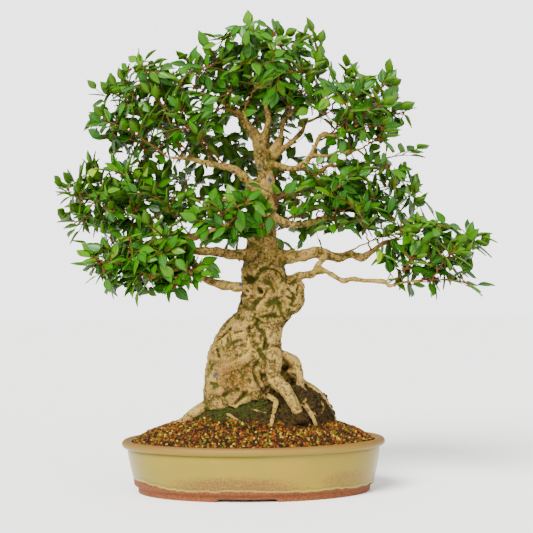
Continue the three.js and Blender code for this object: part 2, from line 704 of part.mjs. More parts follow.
function crosses(a, b) {
  if (a.base.distanceTo(b.base) > a.length + b.length) return false;
  for (const [one, two] of [[a, b], [b, a]]) {
    const rim = [leafPoint(one, 0, 0), ...one.probes];
    for (let i = 0; i < rim.length; i += 1) {
      if (i > 0 && touches(two, rim[i], LEAF_CLEARANCE)) return true;
      for (let k = i + 1; k < rim.length; k += 1) {
        for (const share of [0.25, 0.5, 0.75]) {
          if (touches(two, rim[i].clone().lerp(rim[k], share), LEAF_CLEARANCE)) return true;
        }
      }
    }
  }
  return false;
}

// A leaf at a share of a twig, on its left (-1), at its end (0) or on its right (1), turned until it fits.
function fitLeaf(shoot, share, side, draw, wood, leaves) {
  const { point, heading } = placeOn(shoot.points, share);
  const outward = new THREE.Vector3(point.x - LEAF_MIDDLE, point.y, 0).normalize();
  for (let attempt = 0; attempt < LEAF_TRIES; attempt += 1) {
    const facing = new THREE.Vector3(draw() - 0.5, draw() - 0.5, mix(LEAF_FACING_UP, draw()))
      .addScaledVector(outward, LEAF_FACING_OUT);
    const turn = side * (LEAF_ANGLE + TURN_SPREAD * (draw() - 0.5));
    const length = mix(LEAF_LENGTH, draw());
    const direction = heading.clone().applyAxisAngle(facing.clone().normalize(), turn);
    direction.z += mix(LEAF_PITCH, draw());
    const leaf = {
      base: point,
      length,
      halfWidth: (length * LEAF_WIDTH_SHARE) / 2,
      axes: leafAxes(direction, facing),
    };
    leaf.probes = leafProbes(leaf);
    const fits = wood.every((piece) => clears(leaf, piece, shoot.stretches.includes(piece)))
      && !leaves.some((other) => crosses(other, leaf));
    if (fits) return leaf;
  }
  return null;
}

// A side twig at a share of the stem, turned until it keeps clear of the wood and the leaves.
function fitTwig(main, share, side, draw, wood, leaves) {
  const { point, heading } = placeOn(main.points, share);
  for (let attempt = 0; attempt < LEAF_TRIES; attempt += 1) {
    const axis = new THREE.Vector3(draw() - 0.5, draw() - 0.5, 1).normalize();
    const turn = side * (SIDE_TWIG_ANGLE + TURN_SPREAD * (draw() - 0.5));
    const reach = mix(SIDE_TWIG_LENGTH, draw());
    const end = point.clone().addScaledVector(heading.clone().applyAxisAngle(axis, turn), reach);
    const own = stretches([point, end], SIDE_TWIG_RADII);
    const free = own[0].points.filter((probe) => probe.distanceTo(point) > 0.3 * reach);
    const fits = wood.every((piece) => free.every((probe) => distanceTo(piece, probe) > TWIG_CLEARANCE))
      && leaves.every((leaf) => free.every((probe) => !touches(leaf, probe, TWIG_CLEARANCE)));
    if (fits) return { points: [point, end], radii: SIDE_TWIG_RADII, stretches: own };
  }
  return null;
}

function growSpray(spray, draw, wood, leaves) {
  SIDE_TWIG_PLACES.forEach((share, i) => {
    const twig = fitTwig(spray.main, share, i % 2 === 0 ? 1 : -1, draw, wood, leaves);
    if (!twig) return;
    spray.twigs.push(twig);
    wood.push(...twig.stretches);
  });
  const places = STEM_LEAF_PLACES.map(([share, side]) => [spray.main, share, side]);
  for (const twig of spray.twigs) {
    places.push(...SIDE_LEAF_PLACES.map(([share, side]) => [twig, share, side]));
  }
  for (const [shoot, share, side] of places) {
    const leaf = fitLeaf(shoot, share, side, draw, wood, leaves);
    if (!leaf) continue;
    leaves.push(leaf);
    if (side === 0) shoot.endLeaf = leaf;
    else spray.sideLeaves.push(leaf);
  }
}

// All stems come first, because each twig and leaf keeps clear of those before it.
function growSprays() {
  const wood = woodStretches();
  const leaves = [];
  const sprays = [];
  for (const branch of BRANCHES) {
    const taken = [];
    branch.tips.forEach((tip, i) => {
      const points = stemOf(branch, vector(tip), wood, taken);
      const main = { points, radii: STEM_RADII, stretches: stretches(points, STEM_RADII) };
      wood.push(...main.stretches);
      sprays.push({ name: `spray_${branch.name}_${i + 1}`, branch, main, twigs: [], sideLeaves: [] });
    });
  }
  sprays.forEach((spray, index) => growSpray(spray, random(SEED + index), wood, leaves));
  return sprays;
}

// Corners across a blade at each share of its length: left rim, right rim, and the midrib under it.
function bladeRings(leaf) {
  const depth = leaf.axes.up.clone().multiplyScalar(-LEAF_RIB);
  const rings = LEAF_OUTLINE.map(([share]) => {
    const [left, right, middle] = [-1, 1, 0].map((side) => leafPoint(leaf, share, side));
    return [left, right, middle.add(depth)];
  });
  return [...rings, Array(3).fill(leafPoint(leaf, 1, 0))];
}

// A leaf on the side of a twig starts from one point inside it.
function sideBlade(leaf) {
  return skin([Array(3).fill(leaf.base), ...bladeRings(leaf)]);
}

// A three-sided twig goes over into the leaf at its end without a seam.
function twigSkin({ points, radii, endLeaf }) {
  if (!endLeaf) return limb(points, radii, 3);
  const corner = endLeaf.axes.up.clone().addScaledVector(endLeaf.axes.across, -Math.sqrt(3));
  return skin([...limbRings(points, radii, 3, 0, corner), ...bladeRings(endLeaf)]);
}

// The stem ends at its branch's skin.
function makeSpray(spray) {
  const twigs = [spray.main, ...spray.twigs].map(twigSkin);
  const whole = union([...twigs, ...spray.sideLeaves.map(sideBlade)]);
  return largest(whole.subtract(branchLimb(spray.branch, GAP)));
}

const bonsai = new THREE.Group();
bonsai.name = 'korean_hornbeam_bonsai';

const rootHole = rootMass(GAP);
const meshSeats = [-1, 1].map((side) => {
  const room = new THREE.BoxGeometry(MESH_SIZE + 2, MESH_SIZE + 2, 8);
  return solid(room.translate(side * DRAIN_OFFSET, 0, FLOOR_TOP));
});
const soil = makeSoil().subtract(rootHole).subtract(union(meshSeats));
const muck = largest(muckDomes().subtract(makeSoil(GAP)).subtract(rootHole));

bonsai.add(named('pot', makePot(), GLAZE, 0.45));
bonsai.add(named('soil', soil, SOIL_BROWN, 0.95));
bonsai.add(named('peat_mound', muck, MUCK_BROWN, 1));
bonsai.add(named('trunk', makeTrunk(), BARK, 0.85));
for (const [word, side] of [['left', -1], ['right', 1]]) {
  bonsai.add(named(`drain_mesh_${word}`, makeMesh(side), PLASTIC_BLACK, 0.6));
  bonsai.add(named(`mesh_clip_${word}`, makeClip(side), WIRE_BROWN, 0.4, 0.9));
}
for (const spray of growSprays()) {
  bonsai.add(named(spray.name, makeSpray(spray), LEAF_GREEN, 0.5));
}

const outline = new THREE.Box3().setFromObject(bonsai);
const middle = outline.getCenter(new THREE.Vector3());
bonsai.position.set(-middle.x, -middle.y, 0);

export default bonsai;
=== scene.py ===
import logging
import math
import random
from dataclasses import dataclass, field
from enum import Enum
from functools import partial
from typing import Callable, Iterable, Optional, Sequence

import bmesh
import bpy
import numpy as np
from bpy.types import ID, Material, NodeSocket, NodeTree, Object
from bpy.types import Node as BlenderNode
from mathutils import Matrix, Quaternion, Vector
from mathutils.bvhtree import BVHTree
from mathutils.geometry import interpolate_bezier


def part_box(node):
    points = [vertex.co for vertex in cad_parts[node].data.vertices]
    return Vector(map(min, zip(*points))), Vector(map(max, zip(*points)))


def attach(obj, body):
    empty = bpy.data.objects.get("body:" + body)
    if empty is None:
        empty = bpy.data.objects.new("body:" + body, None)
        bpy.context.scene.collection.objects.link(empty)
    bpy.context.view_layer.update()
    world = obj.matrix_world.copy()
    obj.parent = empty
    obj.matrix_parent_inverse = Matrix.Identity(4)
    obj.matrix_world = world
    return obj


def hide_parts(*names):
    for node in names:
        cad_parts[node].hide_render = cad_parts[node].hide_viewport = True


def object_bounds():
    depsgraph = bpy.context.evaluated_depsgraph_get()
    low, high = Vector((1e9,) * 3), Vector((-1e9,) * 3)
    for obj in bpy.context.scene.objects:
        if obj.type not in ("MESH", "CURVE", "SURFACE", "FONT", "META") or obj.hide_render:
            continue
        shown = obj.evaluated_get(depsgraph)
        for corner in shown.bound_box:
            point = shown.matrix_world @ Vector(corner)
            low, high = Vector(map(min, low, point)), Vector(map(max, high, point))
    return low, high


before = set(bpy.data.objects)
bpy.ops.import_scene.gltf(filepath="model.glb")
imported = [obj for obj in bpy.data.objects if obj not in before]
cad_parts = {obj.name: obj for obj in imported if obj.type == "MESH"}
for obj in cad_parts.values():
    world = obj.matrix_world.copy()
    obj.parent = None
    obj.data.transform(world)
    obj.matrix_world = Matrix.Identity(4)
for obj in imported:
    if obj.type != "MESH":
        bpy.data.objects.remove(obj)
CAD_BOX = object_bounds()

log = logging.getLogger("hornbeam")

MM = 0.001
BODY = "root"
SEED = 7351

POT_LOW, POT_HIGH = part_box("pot")
POT_MIDDLE = (POT_LOW + POT_HIGH) / 2

# Millimetres to a pixel of the photograph, and the pixels right and down where the pot's foot has its middle.
PHOTO_SCALE = 1.52
PHOTO_MIDDLE, PHOTO_FOOT = 254.2, 489.6

# What a node's input may get: the socket that feeds it, or a value. None leaves the input alone.
Feed = NodeSocket | float | bool | str | tuple[float, ...] | None
# add_node with its tree given.
Adder = Callable[..., Optional[NodeSocket]]
# Two numbers, such as a pixel, a place in the picture, two radii or two limits.
Pair = tuple[float, float]
# x, y and z.
Point = tuple[float, float, float]
# Some numbers that the comment above a field explains.
Row = tuple[float, ...]


class Slot(Enum):
    """The record's material slots."""

    GLAZE = "glaze"
    SOIL = "soil"
    MUCK = "muck"
    BARK = "bark"
    LEAVES = "leaves"
    MESH = "mesh"
    WIRE = "wire"


def placed(point: Sequence[float]) -> Vector:
    """Takes a point about the middle of the pot's foot into the frame.

    Args:
        point: x, y and z in millimetres.

    Returns:
        The same point in the frame, in metres.
    """
    x, y, z = point
    return Vector((x * MM + POT_MIDDLE.x, y * MM + POT_MIDDLE.y, z * MM))


def linear(colour: str) -> tuple[float, float, float, float]:
    """Turns an sRGB hex colour into linear values.

    Args:
        colour: Six hex digits with a leading hash.

    Returns:
        Red, green and blue in linear light, and an alpha of 1.
    """
    shares = [int(colour[i:i + 2], 16) / 255 for i in (1, 3, 5)]
    return (*(s / 12.92 if s <= 0.04045 else ((s + 0.055) / 1.055) ** 2.4 for s in shares), 1.0)


NOISE_INPUTS = ("Vector", "Scale", "Detail", "Roughness")


class Node(Enum):
    """The kinds of nodes: type, settings, and the inputs and the output where those aren't the first."""

    ADD = ("ShaderNodeMath", {"operation": "ADD"})
    SUBTRACT = ("ShaderNodeMath", {"operation": "SUBTRACT"})
    MULTIPLY = ("ShaderNodeMath", {"operation": "MULTIPLY"})
    DIVIDE = ("ShaderNodeMath", {"operation": "DIVIDE"})
    MULTIPLY_ADD = ("ShaderNodeMath", {"operation": "MULTIPLY_ADD"})
    MAXIMUM = ("ShaderNodeMath", {"operation": "MAXIMUM"})
    MINIMUM = ("ShaderNodeMath", {"operation": "MINIMUM"})
    ABSOLUTE = ("ShaderNodeMath", {"operation": "ABSOLUTE"})
    POWER = ("ShaderNodeMath", {"operation": "POWER"})
    SINE = ("ShaderNodeMath", {"operation": "SINE"})
    STEP = ("ShaderNodeMapRange", {"interpolation_type": "SMOOTHSTEP"})
    MIX = ("ShaderNodeMix", {"data_type": "RGBA"}, (0, 6, 7), 2)
    RAMP = ("ShaderNodeValToRGB", {})
    NOISE = ("ShaderNodeTexNoise", {}, NOISE_INPUTS)
    RIDGES = ("ShaderNodeTexNoise", {"noise_type": "RIDGED_MULTIFRACTAL"}, NOISE_INPUTS)
    WARP = ("ShaderNodeTexNoise", {}, NOISE_INPUTS, "Color")
    CELLS = ("ShaderNodeTexVoronoi", {}, ("Vector", "Scale"))
    SOFT_CELLS = ("ShaderNodeTexVoronoi", {"feature": "SMOOTH_F1"}, ("Vector", "Scale", "Smoothness"))
    CELL_EDGES = ("ShaderNodeTexVoronoi", {"feature": "DISTANCE_TO_EDGE"}, ("Vector", "Scale"))
    PLACE = ("ShaderNodeTexCoord", {}, (), "Object")
    ATTRIBUTE = ("ShaderNodeAttribute", {}, (), "Fac")
    OWN_MAP = ("ShaderNodeUVMap", {})
    SPLIT = ("ShaderNodeSeparateXYZ", {})
    BUMP = ("ShaderNodeBump", {}, ("Strength", "Distance", "Height"))
    LIGHT_PATH = ("ShaderNodeLightPath", {})
    SHIFT = ("ShaderNodeVectorMath", {"operation": "ADD"})
    SHIFT_BACK = ("ShaderNodeVectorMath", {"operation": "SUBTRACT"})
    STRETCH = ("ShaderNodeVectorMath", {"operation": "MULTIPLY"})
    SCALE = ("ShaderNodeVectorMath", {"operation": "SCALE"}, (0, "Scale"))
    NAMED = ("GeometryNodeInputNamedAttribute", {"data_type": "FLOAT"})
    NAMED_VECTOR = ("GeometryNodeInputNamedAttribute", {"data_type": "FLOAT_VECTOR"})
    POSITION = ("GeometryNodeInputPosition", {})
    NORMAL = ("GeometryNodeInputNormal", {})
    GREATER = ("FunctionNodeCompare", {"operation": "GREATER_THAN"})
    TURN = ("FunctionNodeEulerToRotation", {})
    RANDOM = ("FunctionNodeRandomValue", {"data_type": "FLOAT"}, (2, 3, "Seed"), 1)
    RANDOM_VECTOR = ("FunctionNodeRandomValue", {"data_type": "FLOAT_VECTOR"}, (0, 1, "Seed"))
    TO_CURVE = ("GeometryNodeMeshToCurve", {})
    CIRCLE = ("GeometryNodeCurvePrimitiveCircle", {}, ("Resolution", "Radius"))
    TUBE = ("GeometryNodeCurveToMesh", {}, ("Curve", "Profile Curve", "Scale", "Fill Caps"))
    SHADE_SMOOTH = ("GeometryNodeSetShadeSmooth", {})
    OBJECT = ("GeometryNodeObjectInfo", {}, ("Object",), "Geometry")
    BALL = ("GeometryNodeMeshIcoSphere", {})
    RESHAPE = ("GeometryNodeTransform", {}, ("Geometry", "Scale"))
    SCATTER = ("GeometryNodeDistributePointsOnFaces", {"distribute_method": "POISSON"},
               ("Mesh", "Distance Min", "Density Max", "Density Factor", "Seed"))
    INSTANCES = ("GeometryNodeInstanceOnPoints", {}, ("Points", "Selection", "Instance", "Rotation", "Scale"))
    MARK = ("GeometryNodeStoreNamedAttribute", {"data_type": "FLOAT"}, ("Geometry", "Name", "Value"))
    MOVE = ("GeometryNodeSetPosition", {}, ("Geometry", "Offset"))
    JOIN = ("GeometryNodeJoinGeometry", {})
    REALIZE = ("GeometryNodeRealizeInstances", {})
    SET_MATERIAL = ("GeometryNodeSetMaterial", {}, ("Geometry", "Selection", "Material"))
    START = ("NodeGroupInput", {})
    END = ("NodeGroupOutput", {})


def feed(socket: NodeSocket, value: Feed) -> None:
    """Links a socket to the one that feeds it, or gives it a value.

    Args:
        socket: The input.
        value: What it gets.
    """
    if isinstance(value, NodeSocket):
        socket.id_data.links.new(value, socket)
    elif value is not None:
        socket.default_value = value


def add_node(tree: NodeTree, kind: Node, *inputs: Feed, stops: Sequence[tuple[float, str]] = (),
             **settings: object) -> Optional[NodeSocket]:
    """Adds a node with its settings and links.

    Args:
        tree: The node tree.
        kind: The kind of node.
        *inputs: What its inputs get, in the kind's order.
        stops: For a colour ramp, each stop's place and sRGB hex colour.
        **settings: The node's own properties, beside those of the kind.

    Returns:
        The output that the kind names, or None.
    """
    type_name, fixed, *more = kind.value
    node = tree.nodes.new(type_name)
    for name, value in {**fixed, **settings}.items():
        setattr(node, name, value)
    for key, value in zip(more[0] if more else range(len(inputs)), inputs):
        feed(node.inputs[key], value)
    for i, (place, colour) in enumerate(stops):
        element = node.color_ramp.elements[i] if i < 2 else node.color_ramp.elements.new(place)
        element.position, element.color = place, linear(colour)
    return node.outputs[more[1] if len(more) > 1 else 0] if node.outputs else None


def per_mm(size: float) -> float:
    """Gives the scale of a pattern whose patches are so many millimetres wide."""
    return 1 / (size * MM)


def new_material(name: str) -> tuple[Material, Adder, BlenderNode]:
    """Makes a material with a Principled shader.

    Args:
        name: The material's name.

    Returns:
        The material, a function that adds a node to it, and its shader node.
    """
    material = bpy.data.materials.new(name)
    material.use_nodes = True
    return material, partial(add_node, material.node_tree), material.node_tree.nodes["Principled BSDF"]


def coated(add: Adder, colour: Feed, coats: Sequence[tuple[Feed, float, str]]) -> Feed:
    """Lays coats of colour over a colour.

    Args:
        add: Adds a node to the material.
        colour: The colour underneath.
        coats: From below, where each coat lies, how strongly, and its sRGB hex colour.

    Returns:
        The colour on top.
    """
    for where, strength, hue in coats:
        colour = add(Node.MIX, add(Node.MULTIPLY, where, strength), colour, linear(hue))
    return colour


def set_shader(shader: BlenderNode, colour: Feed, normal: Feed, roughness: Feed,
               specular: float = 0.15) -> None:
    """Feeds a Principled shader.

    Args:
        shader: The shader node.
        colour: Its base colour.
        normal: Its normal, or None.
        roughness: Its roughness.
        specular: Its specular level.
    """
    names = ("Base Color", "Normal", "Roughness", "Specular IOR Level")
    for name, value in zip(names, (colour, normal, roughness, specular)):
        feed(shader.inputs[name], value)


@dataclass(frozen=True)
class LeafBlade:
    """Hornbeam leaf, grown: a waxy upper face that shines and paler lines where its veins are sunk."""

    shade: str = "#062a00"
    middle: str = "#1e5400"
    light: str = "#487200"
    young: str = "#7c9800"
    vein: str = "#466204"
    under: str = "#3c5c04"
    roughness: float = 0.24
    vein_pairs: int = 9

    def material(self) -> Material:
        """Builds the leaf's material.

        Returns:
            The material, which reads each leaf's tone and its own map.
        """
        material, add, shader = new_material("leaf_blade")
        tone = add(Node.ATTRIBUTE, attribute_name="tone")
        below = add(Node.ATTRIBUTE, attribute_name="underside")
        split = add(Node.SPLIT, add(Node.OWN_MAP, uv_map="leaf")).node
        across = add(Node.ABSOLUTE, add(Node.SUBTRACT, split.outputs["X"], 0.5))
        slanted = add(Node.SUBTRACT, split.outputs["Y"], add(Node.MULTIPLY, across, 0.55))
        wave = add(Node.SINE, add(Node.MULTIPLY, slanted, self.vein_pairs * 2 * math.pi))
        side_vein = add(Node.STEP, wave, 0.55, 1.0)
        midrib = add(Node.STEP, across, 0.045, 0.012)
        veins = add(Node.MAXIMUM, midrib, add(Node.MULTIPLY, side_vein, 0.4))
        # The tone is each leaf's own lightness and young lime, and also painted shade in a pad's middle and
        # painted light on its rim and top.
        body = add(Node.RAMP, tone, stops=(
            (0.0, self.shade), (0.45, self.middle), (0.85, self.light), (1.0, self.young)))
        mottle = add(Node.NOISE, add(Node.PLACE), per_mm(9.0), 3.0, 0.55)
        colour = coated(add, body, (
            (mottle, 0.35, self.shade), (veins, 0.5, self.vein), (below, 0.7, self.under)))
        bump = add(Node.BUMP, 0.5, 0.25 * MM, add(Node.MULTIPLY, veins, -1.0))
        set_shader(shader, colour, bump, add(Node.MULTIPLY_ADD, below, 0.25, self.roughness), 0.2)
        shader.inputs["IOR"].default_value = 1.45
        return material


@dataclass(frozen=True)
class TwigBark:
    """Young hornbeam bark: thin, smooth and red-brown, greyer where the twig is old."""

    red: str = "#401a06"
    grey: str = "#56380f"
    roughness: float = 0.6

    def material(self) -> Material:
        """Builds the twigs' material.

        Returns:
            The material.
        """
        material, add, shader = new_material("twig_bark")
        patches = add(Node.NOISE, add(Node.PLACE), per_mm(6.0), 3.0, 0.55)
        colour = add(Node.RAMP, patches, stops=((0.3, self.red), (0.7, self.grey)))
        set_shader(shader, colour, add(Node.BUMP, 0.4, 0.3 * MM, patches), self.roughness)
        return material


@dataclass(frozen=True)
class OldBark:
    """Old hornbeam bark, grown: dull, tan and pinkish on the swellings, dark and mossy in the cracks; painted
    shade in hollows, painted light on swellings.
    """

    # The darkest colour: real cracks and pits, and painted shade where the stored shade is low.
    crack_and_shade: str = "#0b0601"
    olive: str = "#2a2400"
    grey: str = "#50400d"
    tan: str = "#705721"
    cream: str = "#9f8343"
    pink: str = "#8c673d"
    moss: str = "#363a00"
    ochre: str = "#5b3402"
    wash: str = "#5c5208"
    paste: str = "#333a45"
    roughness: float = 0.82
    # Noises: grain in millimetres, detail and roughness.
    broad: Row = (34.0, 3.0, 0.55)
    fine: Row = (5.0, 6.0, 0.76)
    grain: Row = (2.2, 4.0, 0.6)
    blotch: Row = (14.0, 4.0, 0.6)
    patchy: Row = (11.0, 5.0, 0.7)
    # Patches: the same of their noise, and the levels where they start and are full.
    rosy: Row = (26.0, 2.0, 0.55, 0.42, 0.6)
    damp: Row = (18.0, 3.0, 0.6, 0.4, 0.62)
    pits: Row = (2.2, 4.0, 0.6, 0.47, 0.36)
    pocks: Row = (5.0, 2.0, 0.55, 0.43, 0.3)
    crumbly: Row = (22.0, 3.0, 0.6, 0.46, 0.58)
    scales: Row = (4.0, 3.0, 0.55, 0.55, 0.64)
    crumb_size: float = 4.6
    # The heights between which the wood turns from mossy and clean to weathered, in metres.
    weathered: Pair = (0.235, 0.275)

    def material(self) -> Material:
        """Builds the bark's material.

        Returns:
            The material, which reads what the wood stores on its corners.
        """
        material, add, shader = new_material("old_bark")
        place = add(Node.PLACE)
        relief, mossy, stained, pasted, girth = (
            add(Node.ATTRIBUTE, attribute_name=name)
            for name in ("relief", "moss", "stain", "paste", "girth"))
        broad, fine, grain, blotch, patchy = (
            add(Node.NOISE, place, per_mm(size), detail, rough)
            for size, detail, rough in (self.broad, self.fine, self.grain, self.blotch, self.patchy))
        rosy, damp, pits, pocks, crumbly, scales = (
            add(Node.STEP, add(Node.NOISE, place, per_mm(size), detail, rough), low, high)
            for size, detail, rough, low, high in (
                self.rosy, self.damp, self.pits, self.pocks, self.crumbly, self.scales))
        thin = add(Node.MULTIPLY, add(Node.SUBTRACT, 1.0, girth), 1.3)
        # The level starts from the stored painted shade and light, so the ramp's dark end is painted shade in
        # hollows and under the wood, and its light end is partly painted light on swellings.
        level = relief
        for noise, share in ((fine, 1.5), (broad, 0.4), (blotch, thin)):
            level = add(Node.MULTIPLY_ADD, add(Node.SUBTRACT, noise, 0.5), share, level)
        colour = add(Node.RAMP, level, stops=(
            (0.12, self.crack_and_shade), (0.3, self.olive), (0.45, self.grey), (0.6, self.tan), (0.85, self.cream)))
        rise = add(Node.STEP, add(Node.SPLIT, place).node.outputs["Z"], *self.weathered)
        damp = add(Node.MULTIPLY, damp, add(Node.MULTIPLY_ADD, rise, 0.35, 0.25))
        gaps = add(Node.STEP, add(Node.CELLS, place, per_mm(self.crumb_size)), 0.42, 0.66)
        crumbs = add(Node.MULTIPLY, add(Node.MULTIPLY, gaps, crumbly), 0.75)
        green = add(Node.STEP, add(Node.MULTIPLY_ADD, patchy, 1.5, mossy), 1.0, 1.16)
        green = add(Node.MULTIPLY, green, add(Node.STEP, level, 0.8, 0.35))
        pasted = add(Node.STEP, pasted, 0.35, 0.6)
        colour = coated(add, colour, (
            (rosy, 0.5, self.pink), (damp, 1.0, self.wash), (stained, 1.0, self.ochre),
            (pits, 0.7, self.crack_and_shade), (pocks, 0.6, self.olive), (crumbs, 1.0, self.olive),
            (scales, 0.5, self.cream), (green, 0.85, self.moss), (pasted, 1.0, self.paste)))
        height = add(Node.MULTIPLY_ADD, crumbs, -0.4, add(Node.MULTIPLY_ADD, grain, 0.5, fine))
        set_shader(shader, colour, add(Node.BUMP, 1.0, 4.2 * MM, height), self.roughness)
        return material


@dataclass(frozen=True)
class Muck:
    """Peat muck, pressed on wet and dried: nearly black, crumbly and dull, with a green skin of moss."""

    black: str = "#0b0700"
    brown: str = "#3a2804"
    moss: str = "#252c01"
    roughness: float = 0.95

    def material(self) -> Material:
        """Builds the muck's material.

        Returns:
            The material, which reads the moss attribute.
        """
        material, add, shader = new_material("peat_muck")
        place = add(Node.PLACE)
        mossy = add(Node.ATTRIBUTE, attribute_name="moss")
        crumbs = add(Node.NOISE, place, per_mm(4.5), 5.0, 0.65)
        patchy = add(Node.NOISE, place, per_mm(13.0), 5.0, 0.68)
        green = add(Node.STEP, add(Node.ADD, patchy, mossy), 0.88, 1.04)
        colour = add(Node.RAMP, crumbs, stops=((0.4, self.black), (0.68, self.brown)))
        colour = coated(add, colour, ((green, 0.85, self.moss),))
        set_shader(shader, colour, add(Node.BUMP, 1.0, 2.0 * MM, crumbs), self.roughness)
        return material


@dataclass(frozen=True)
class Granules:
    """Fired clay, pumice and lava grit, sieved: dull crumbs of mixed colours."""

    stops: tuple[tuple[float, str], ...] = (
        (0.0, "#1b0b01"), (0.16, "#3a1c01"), (0.36, "#4f2801"), (0.54, "#613301"), (0.68, "#774101"),
        (0.78, "#6f5709"), (0.85, "#908122"), (0.91, "#4b5701"), (0.97, "#2d1e01"),
    )
    dark: str = "#140801"
    roughness: float = 0.85

    def material(self) -> Material:
        """Builds the grit's material.

        Returns:
            The material, which reads each grain's tone.
        """
        material, add, shader = new_material("soil_granules")
        fine = add(Node.NOISE, add(Node.PLACE), per_mm(1.5), 3.0, 0.55)
        colour = add(Node.RAMP, add(Node.ATTRIBUTE, attribute_name="tone"), stops=self.stops)
        colour.node.color_ramp.interpolation = "CONSTANT"
        colour = coated(add, colour, ((fine, 0.5, self.dark),))
        set_shader(shader, colour, add(Node.BUMP, 0.6, 0.5 * MM, fine), self.roughness)
        return material


@dataclass(frozen=True)
class ShadedSoilBed:
    """The grit under the top layer, painted dark as shade: dull dark red-brown with a grain of a few
    millimetres, near black at the grains' edges as painted shade.
    """

    dark: str = "#0c0401"
    brown: str = "#2c1202"
    roughness: float = 0.95

    def material(self) -> Material:
        """Builds the bed's material.

        Returns:
            The material.
        """
        material, add, shader = new_material("soil_bed")
        cells = add(Node.CELLS, add(Node.PLACE), per_mm(4.0))
        # Painted shade: each cell is brown in its middle and near black at its edges, as shade between
        # grains.
        colour = add(Node.RAMP, cells, stops=((0.1, self.brown), (0.8, self.dark)))
        bump = add(Node.BUMP, 1.0, 2.0 * MM, add(Node.MULTIPLY, cells, -1.0))
        set_shader(shader, colour, bump, self.roughness)
        return material


@dataclass(frozen=True)
class Glaze:
    """Stoneware under a satin glaze, kiln fired: straw-green, pink where thin, with a bare clay foot."""

    straw: str = "#76610d"
    green: str = "#6c5f0c"
    rim: str = "#5a380c"
    clay: str = "#6a3506"
    clay_dark: str = "#381802"
    flush: str = "#552e14"
    line: str = "#3d3a15"
    bead: str = "#837828"
    pinhole: str = "#140903"
    glaze_edge: float = 14.6
    roughness: float = 0.3
    # Flushed patches: middle and half size along x, middle and half size in height, and strength.
    patches: tuple[Row, ...] = (
        (-20.0, 120.0, 20.0, 22.0, 1.0), (140.0, 45.0, 27.0, 18.0, 0.8), (-150.0, 40.0, 20.0, 12.0, 0.5))
    # Where the glaze runs lower: the places along x where it starts and is full, and how far.
    runs: tuple[Row, ...] = ((-110.0, -185.0, -9.0), (150.0, 190.0, -3.0))
    # Noises: grain in millimetres, detail and roughness.
    noises: tuple[Row, ...] = (
        (16.0, 4.0, 0.55), (110.0, 1.0, 0.55), (60.0, 2.0, 0.55), (2.4, 4.0, 0.6))

    def flushed(self, add: Adder, along: Feed, height: Feed, fine: Feed) -> Feed:
        """Lays out the pink patches of the wall.

        Args:
            add: Adds a node to the material.
            along: The place along the pot in millimetres.
            height: The height in millimetres.
            fine: The noise that breaks the patches into dots.

        Returns:
            The share of pink.
        """
        flush = 0.0
        for middle, reach, level, tall, strength in self.patches:
            far, off = (
                add(Node.POWER, add(Node.DIVIDE, add(Node.SUBTRACT, value, centre), half), 2.0)
                for value, centre, half in ((along, middle, reach), (height, level, tall)))
            spot = add(Node.MULTIPLY, add(Node.STEP, add(Node.ADD, far, off), 1.4, 0.1), strength)
            flush = add(Node.MAXIMUM, flush, spot)
        dotted = add(Node.MULTIPLY_ADD, flush, 0.35, fine)
        return add(Node.MULTIPLY, add(Node.STEP, dotted, 0.6, 0.95), flush)

    def material(self) -> Material:
        """Builds the pot's material.

        Returns:
            The material, laid out by height and by place round the wall.
        """
        material, add, shader = new_material("stoneware_glaze")
        place = add(Node.PLACE)
        split = add(Node.SPLIT, place).node
        height = add(Node.DIVIDE, split.outputs["Z"], MM)
        along = add(Node.DIVIDE, add(Node.SUBTRACT, split.outputs["X"], POT_MIDDLE.x), MM)
        drips, slow, broad, fine = (
            add(Node.NOISE, place, per_mm(size), detail, rough) for size, detail, rough in self.noises)
        edge = height
        for noise, swing in ((drips, 9.0), (slow, 12.0)):
            edge = add(Node.MULTIPLY_ADD, add(Node.SUBTRACT, noise, 0.5), swing, edge)
        for start, full, drop in self.runs:
            edge = add(Node.MULTIPLY_ADD, add(Node.STEP, along, start, full), drop, edge)
        flush = self.flushed(add, along, height, fine)
        rim = add(Node.STEP, add(Node.MULTIPLY_ADD, broad, 6.0, height), 68.0, 84.0)
        over, under, bead, bare = (
            add(Node.STEP, edge, self.glaze_edge + start, self.glaze_edge + full)
            for start, full in ((2.5, 4.0), (7.0, 4.5), (2.6, 1.0), (0.4, -0.4)))
        pinholes = add(Node.STEP, add(Node.CELLS, place, per_mm(46.0)), 0.03, 0.02)
        glaze = coated(add, add(Node.RAMP, broad, stops=((0.35, self.green), (0.65, self.straw))), (
            (flush, 0.85, self.flush), (add(Node.MULTIPLY, over, under), 0.4, self.line),
            (bead, 0.6, self.bead), (rim, 0.85, self.rim), (pinholes, 1.0, self.pinhole)))
        clay = add(Node.RAMP, fine, stops=((0.34, self.clay_dark), (0.58, self.clay)))
        rough = add(Node.MULTIPLY_ADD, add(Node.MAXIMUM, bare, rim), 0.4, self.roughness)
        body = add(Node.MULTIPLY_ADD, bare, -1.2, add(Node.MULTIPLY, fine, 0.35))
        body = add(Node.MULTIPLY_ADD, bead, 0.4, body)
        set_shader(shader, add(Node.MIX, bare, glaze, clay), add(Node.BUMP, 0.35, 0.6 * MM, body), rough, 0.3)
        return material


@dataclass(frozen=True)
class MossCushion:
    """Moss, growing: short dense tufts, deep green and dull, lighter at the tips."""

    deep: str = "#111801"
    light: str = "#373e02"
    roughness: float = 0.95

    def material(self) -> Material:
        """Builds the moss's material.

        Returns:
            The material, which reads each tuft's tone.
        """
        material, add, shader = new_material("moss_tufts")
        tone = add(Node.ATTRIBUTE, attribute_name="tone")
        colour = add(Node.RAMP, tone, stops=((0.2, self.deep), (1.0, self.light)))
        fine = add(Node.NOISE, add(Node.PLACE), per_mm(0.8), 3.0, 0.55)
        set_shader(shader, colour, add(Node.BUMP, 1.0, 0.6 * MM, fine), self.roughness)
        return material


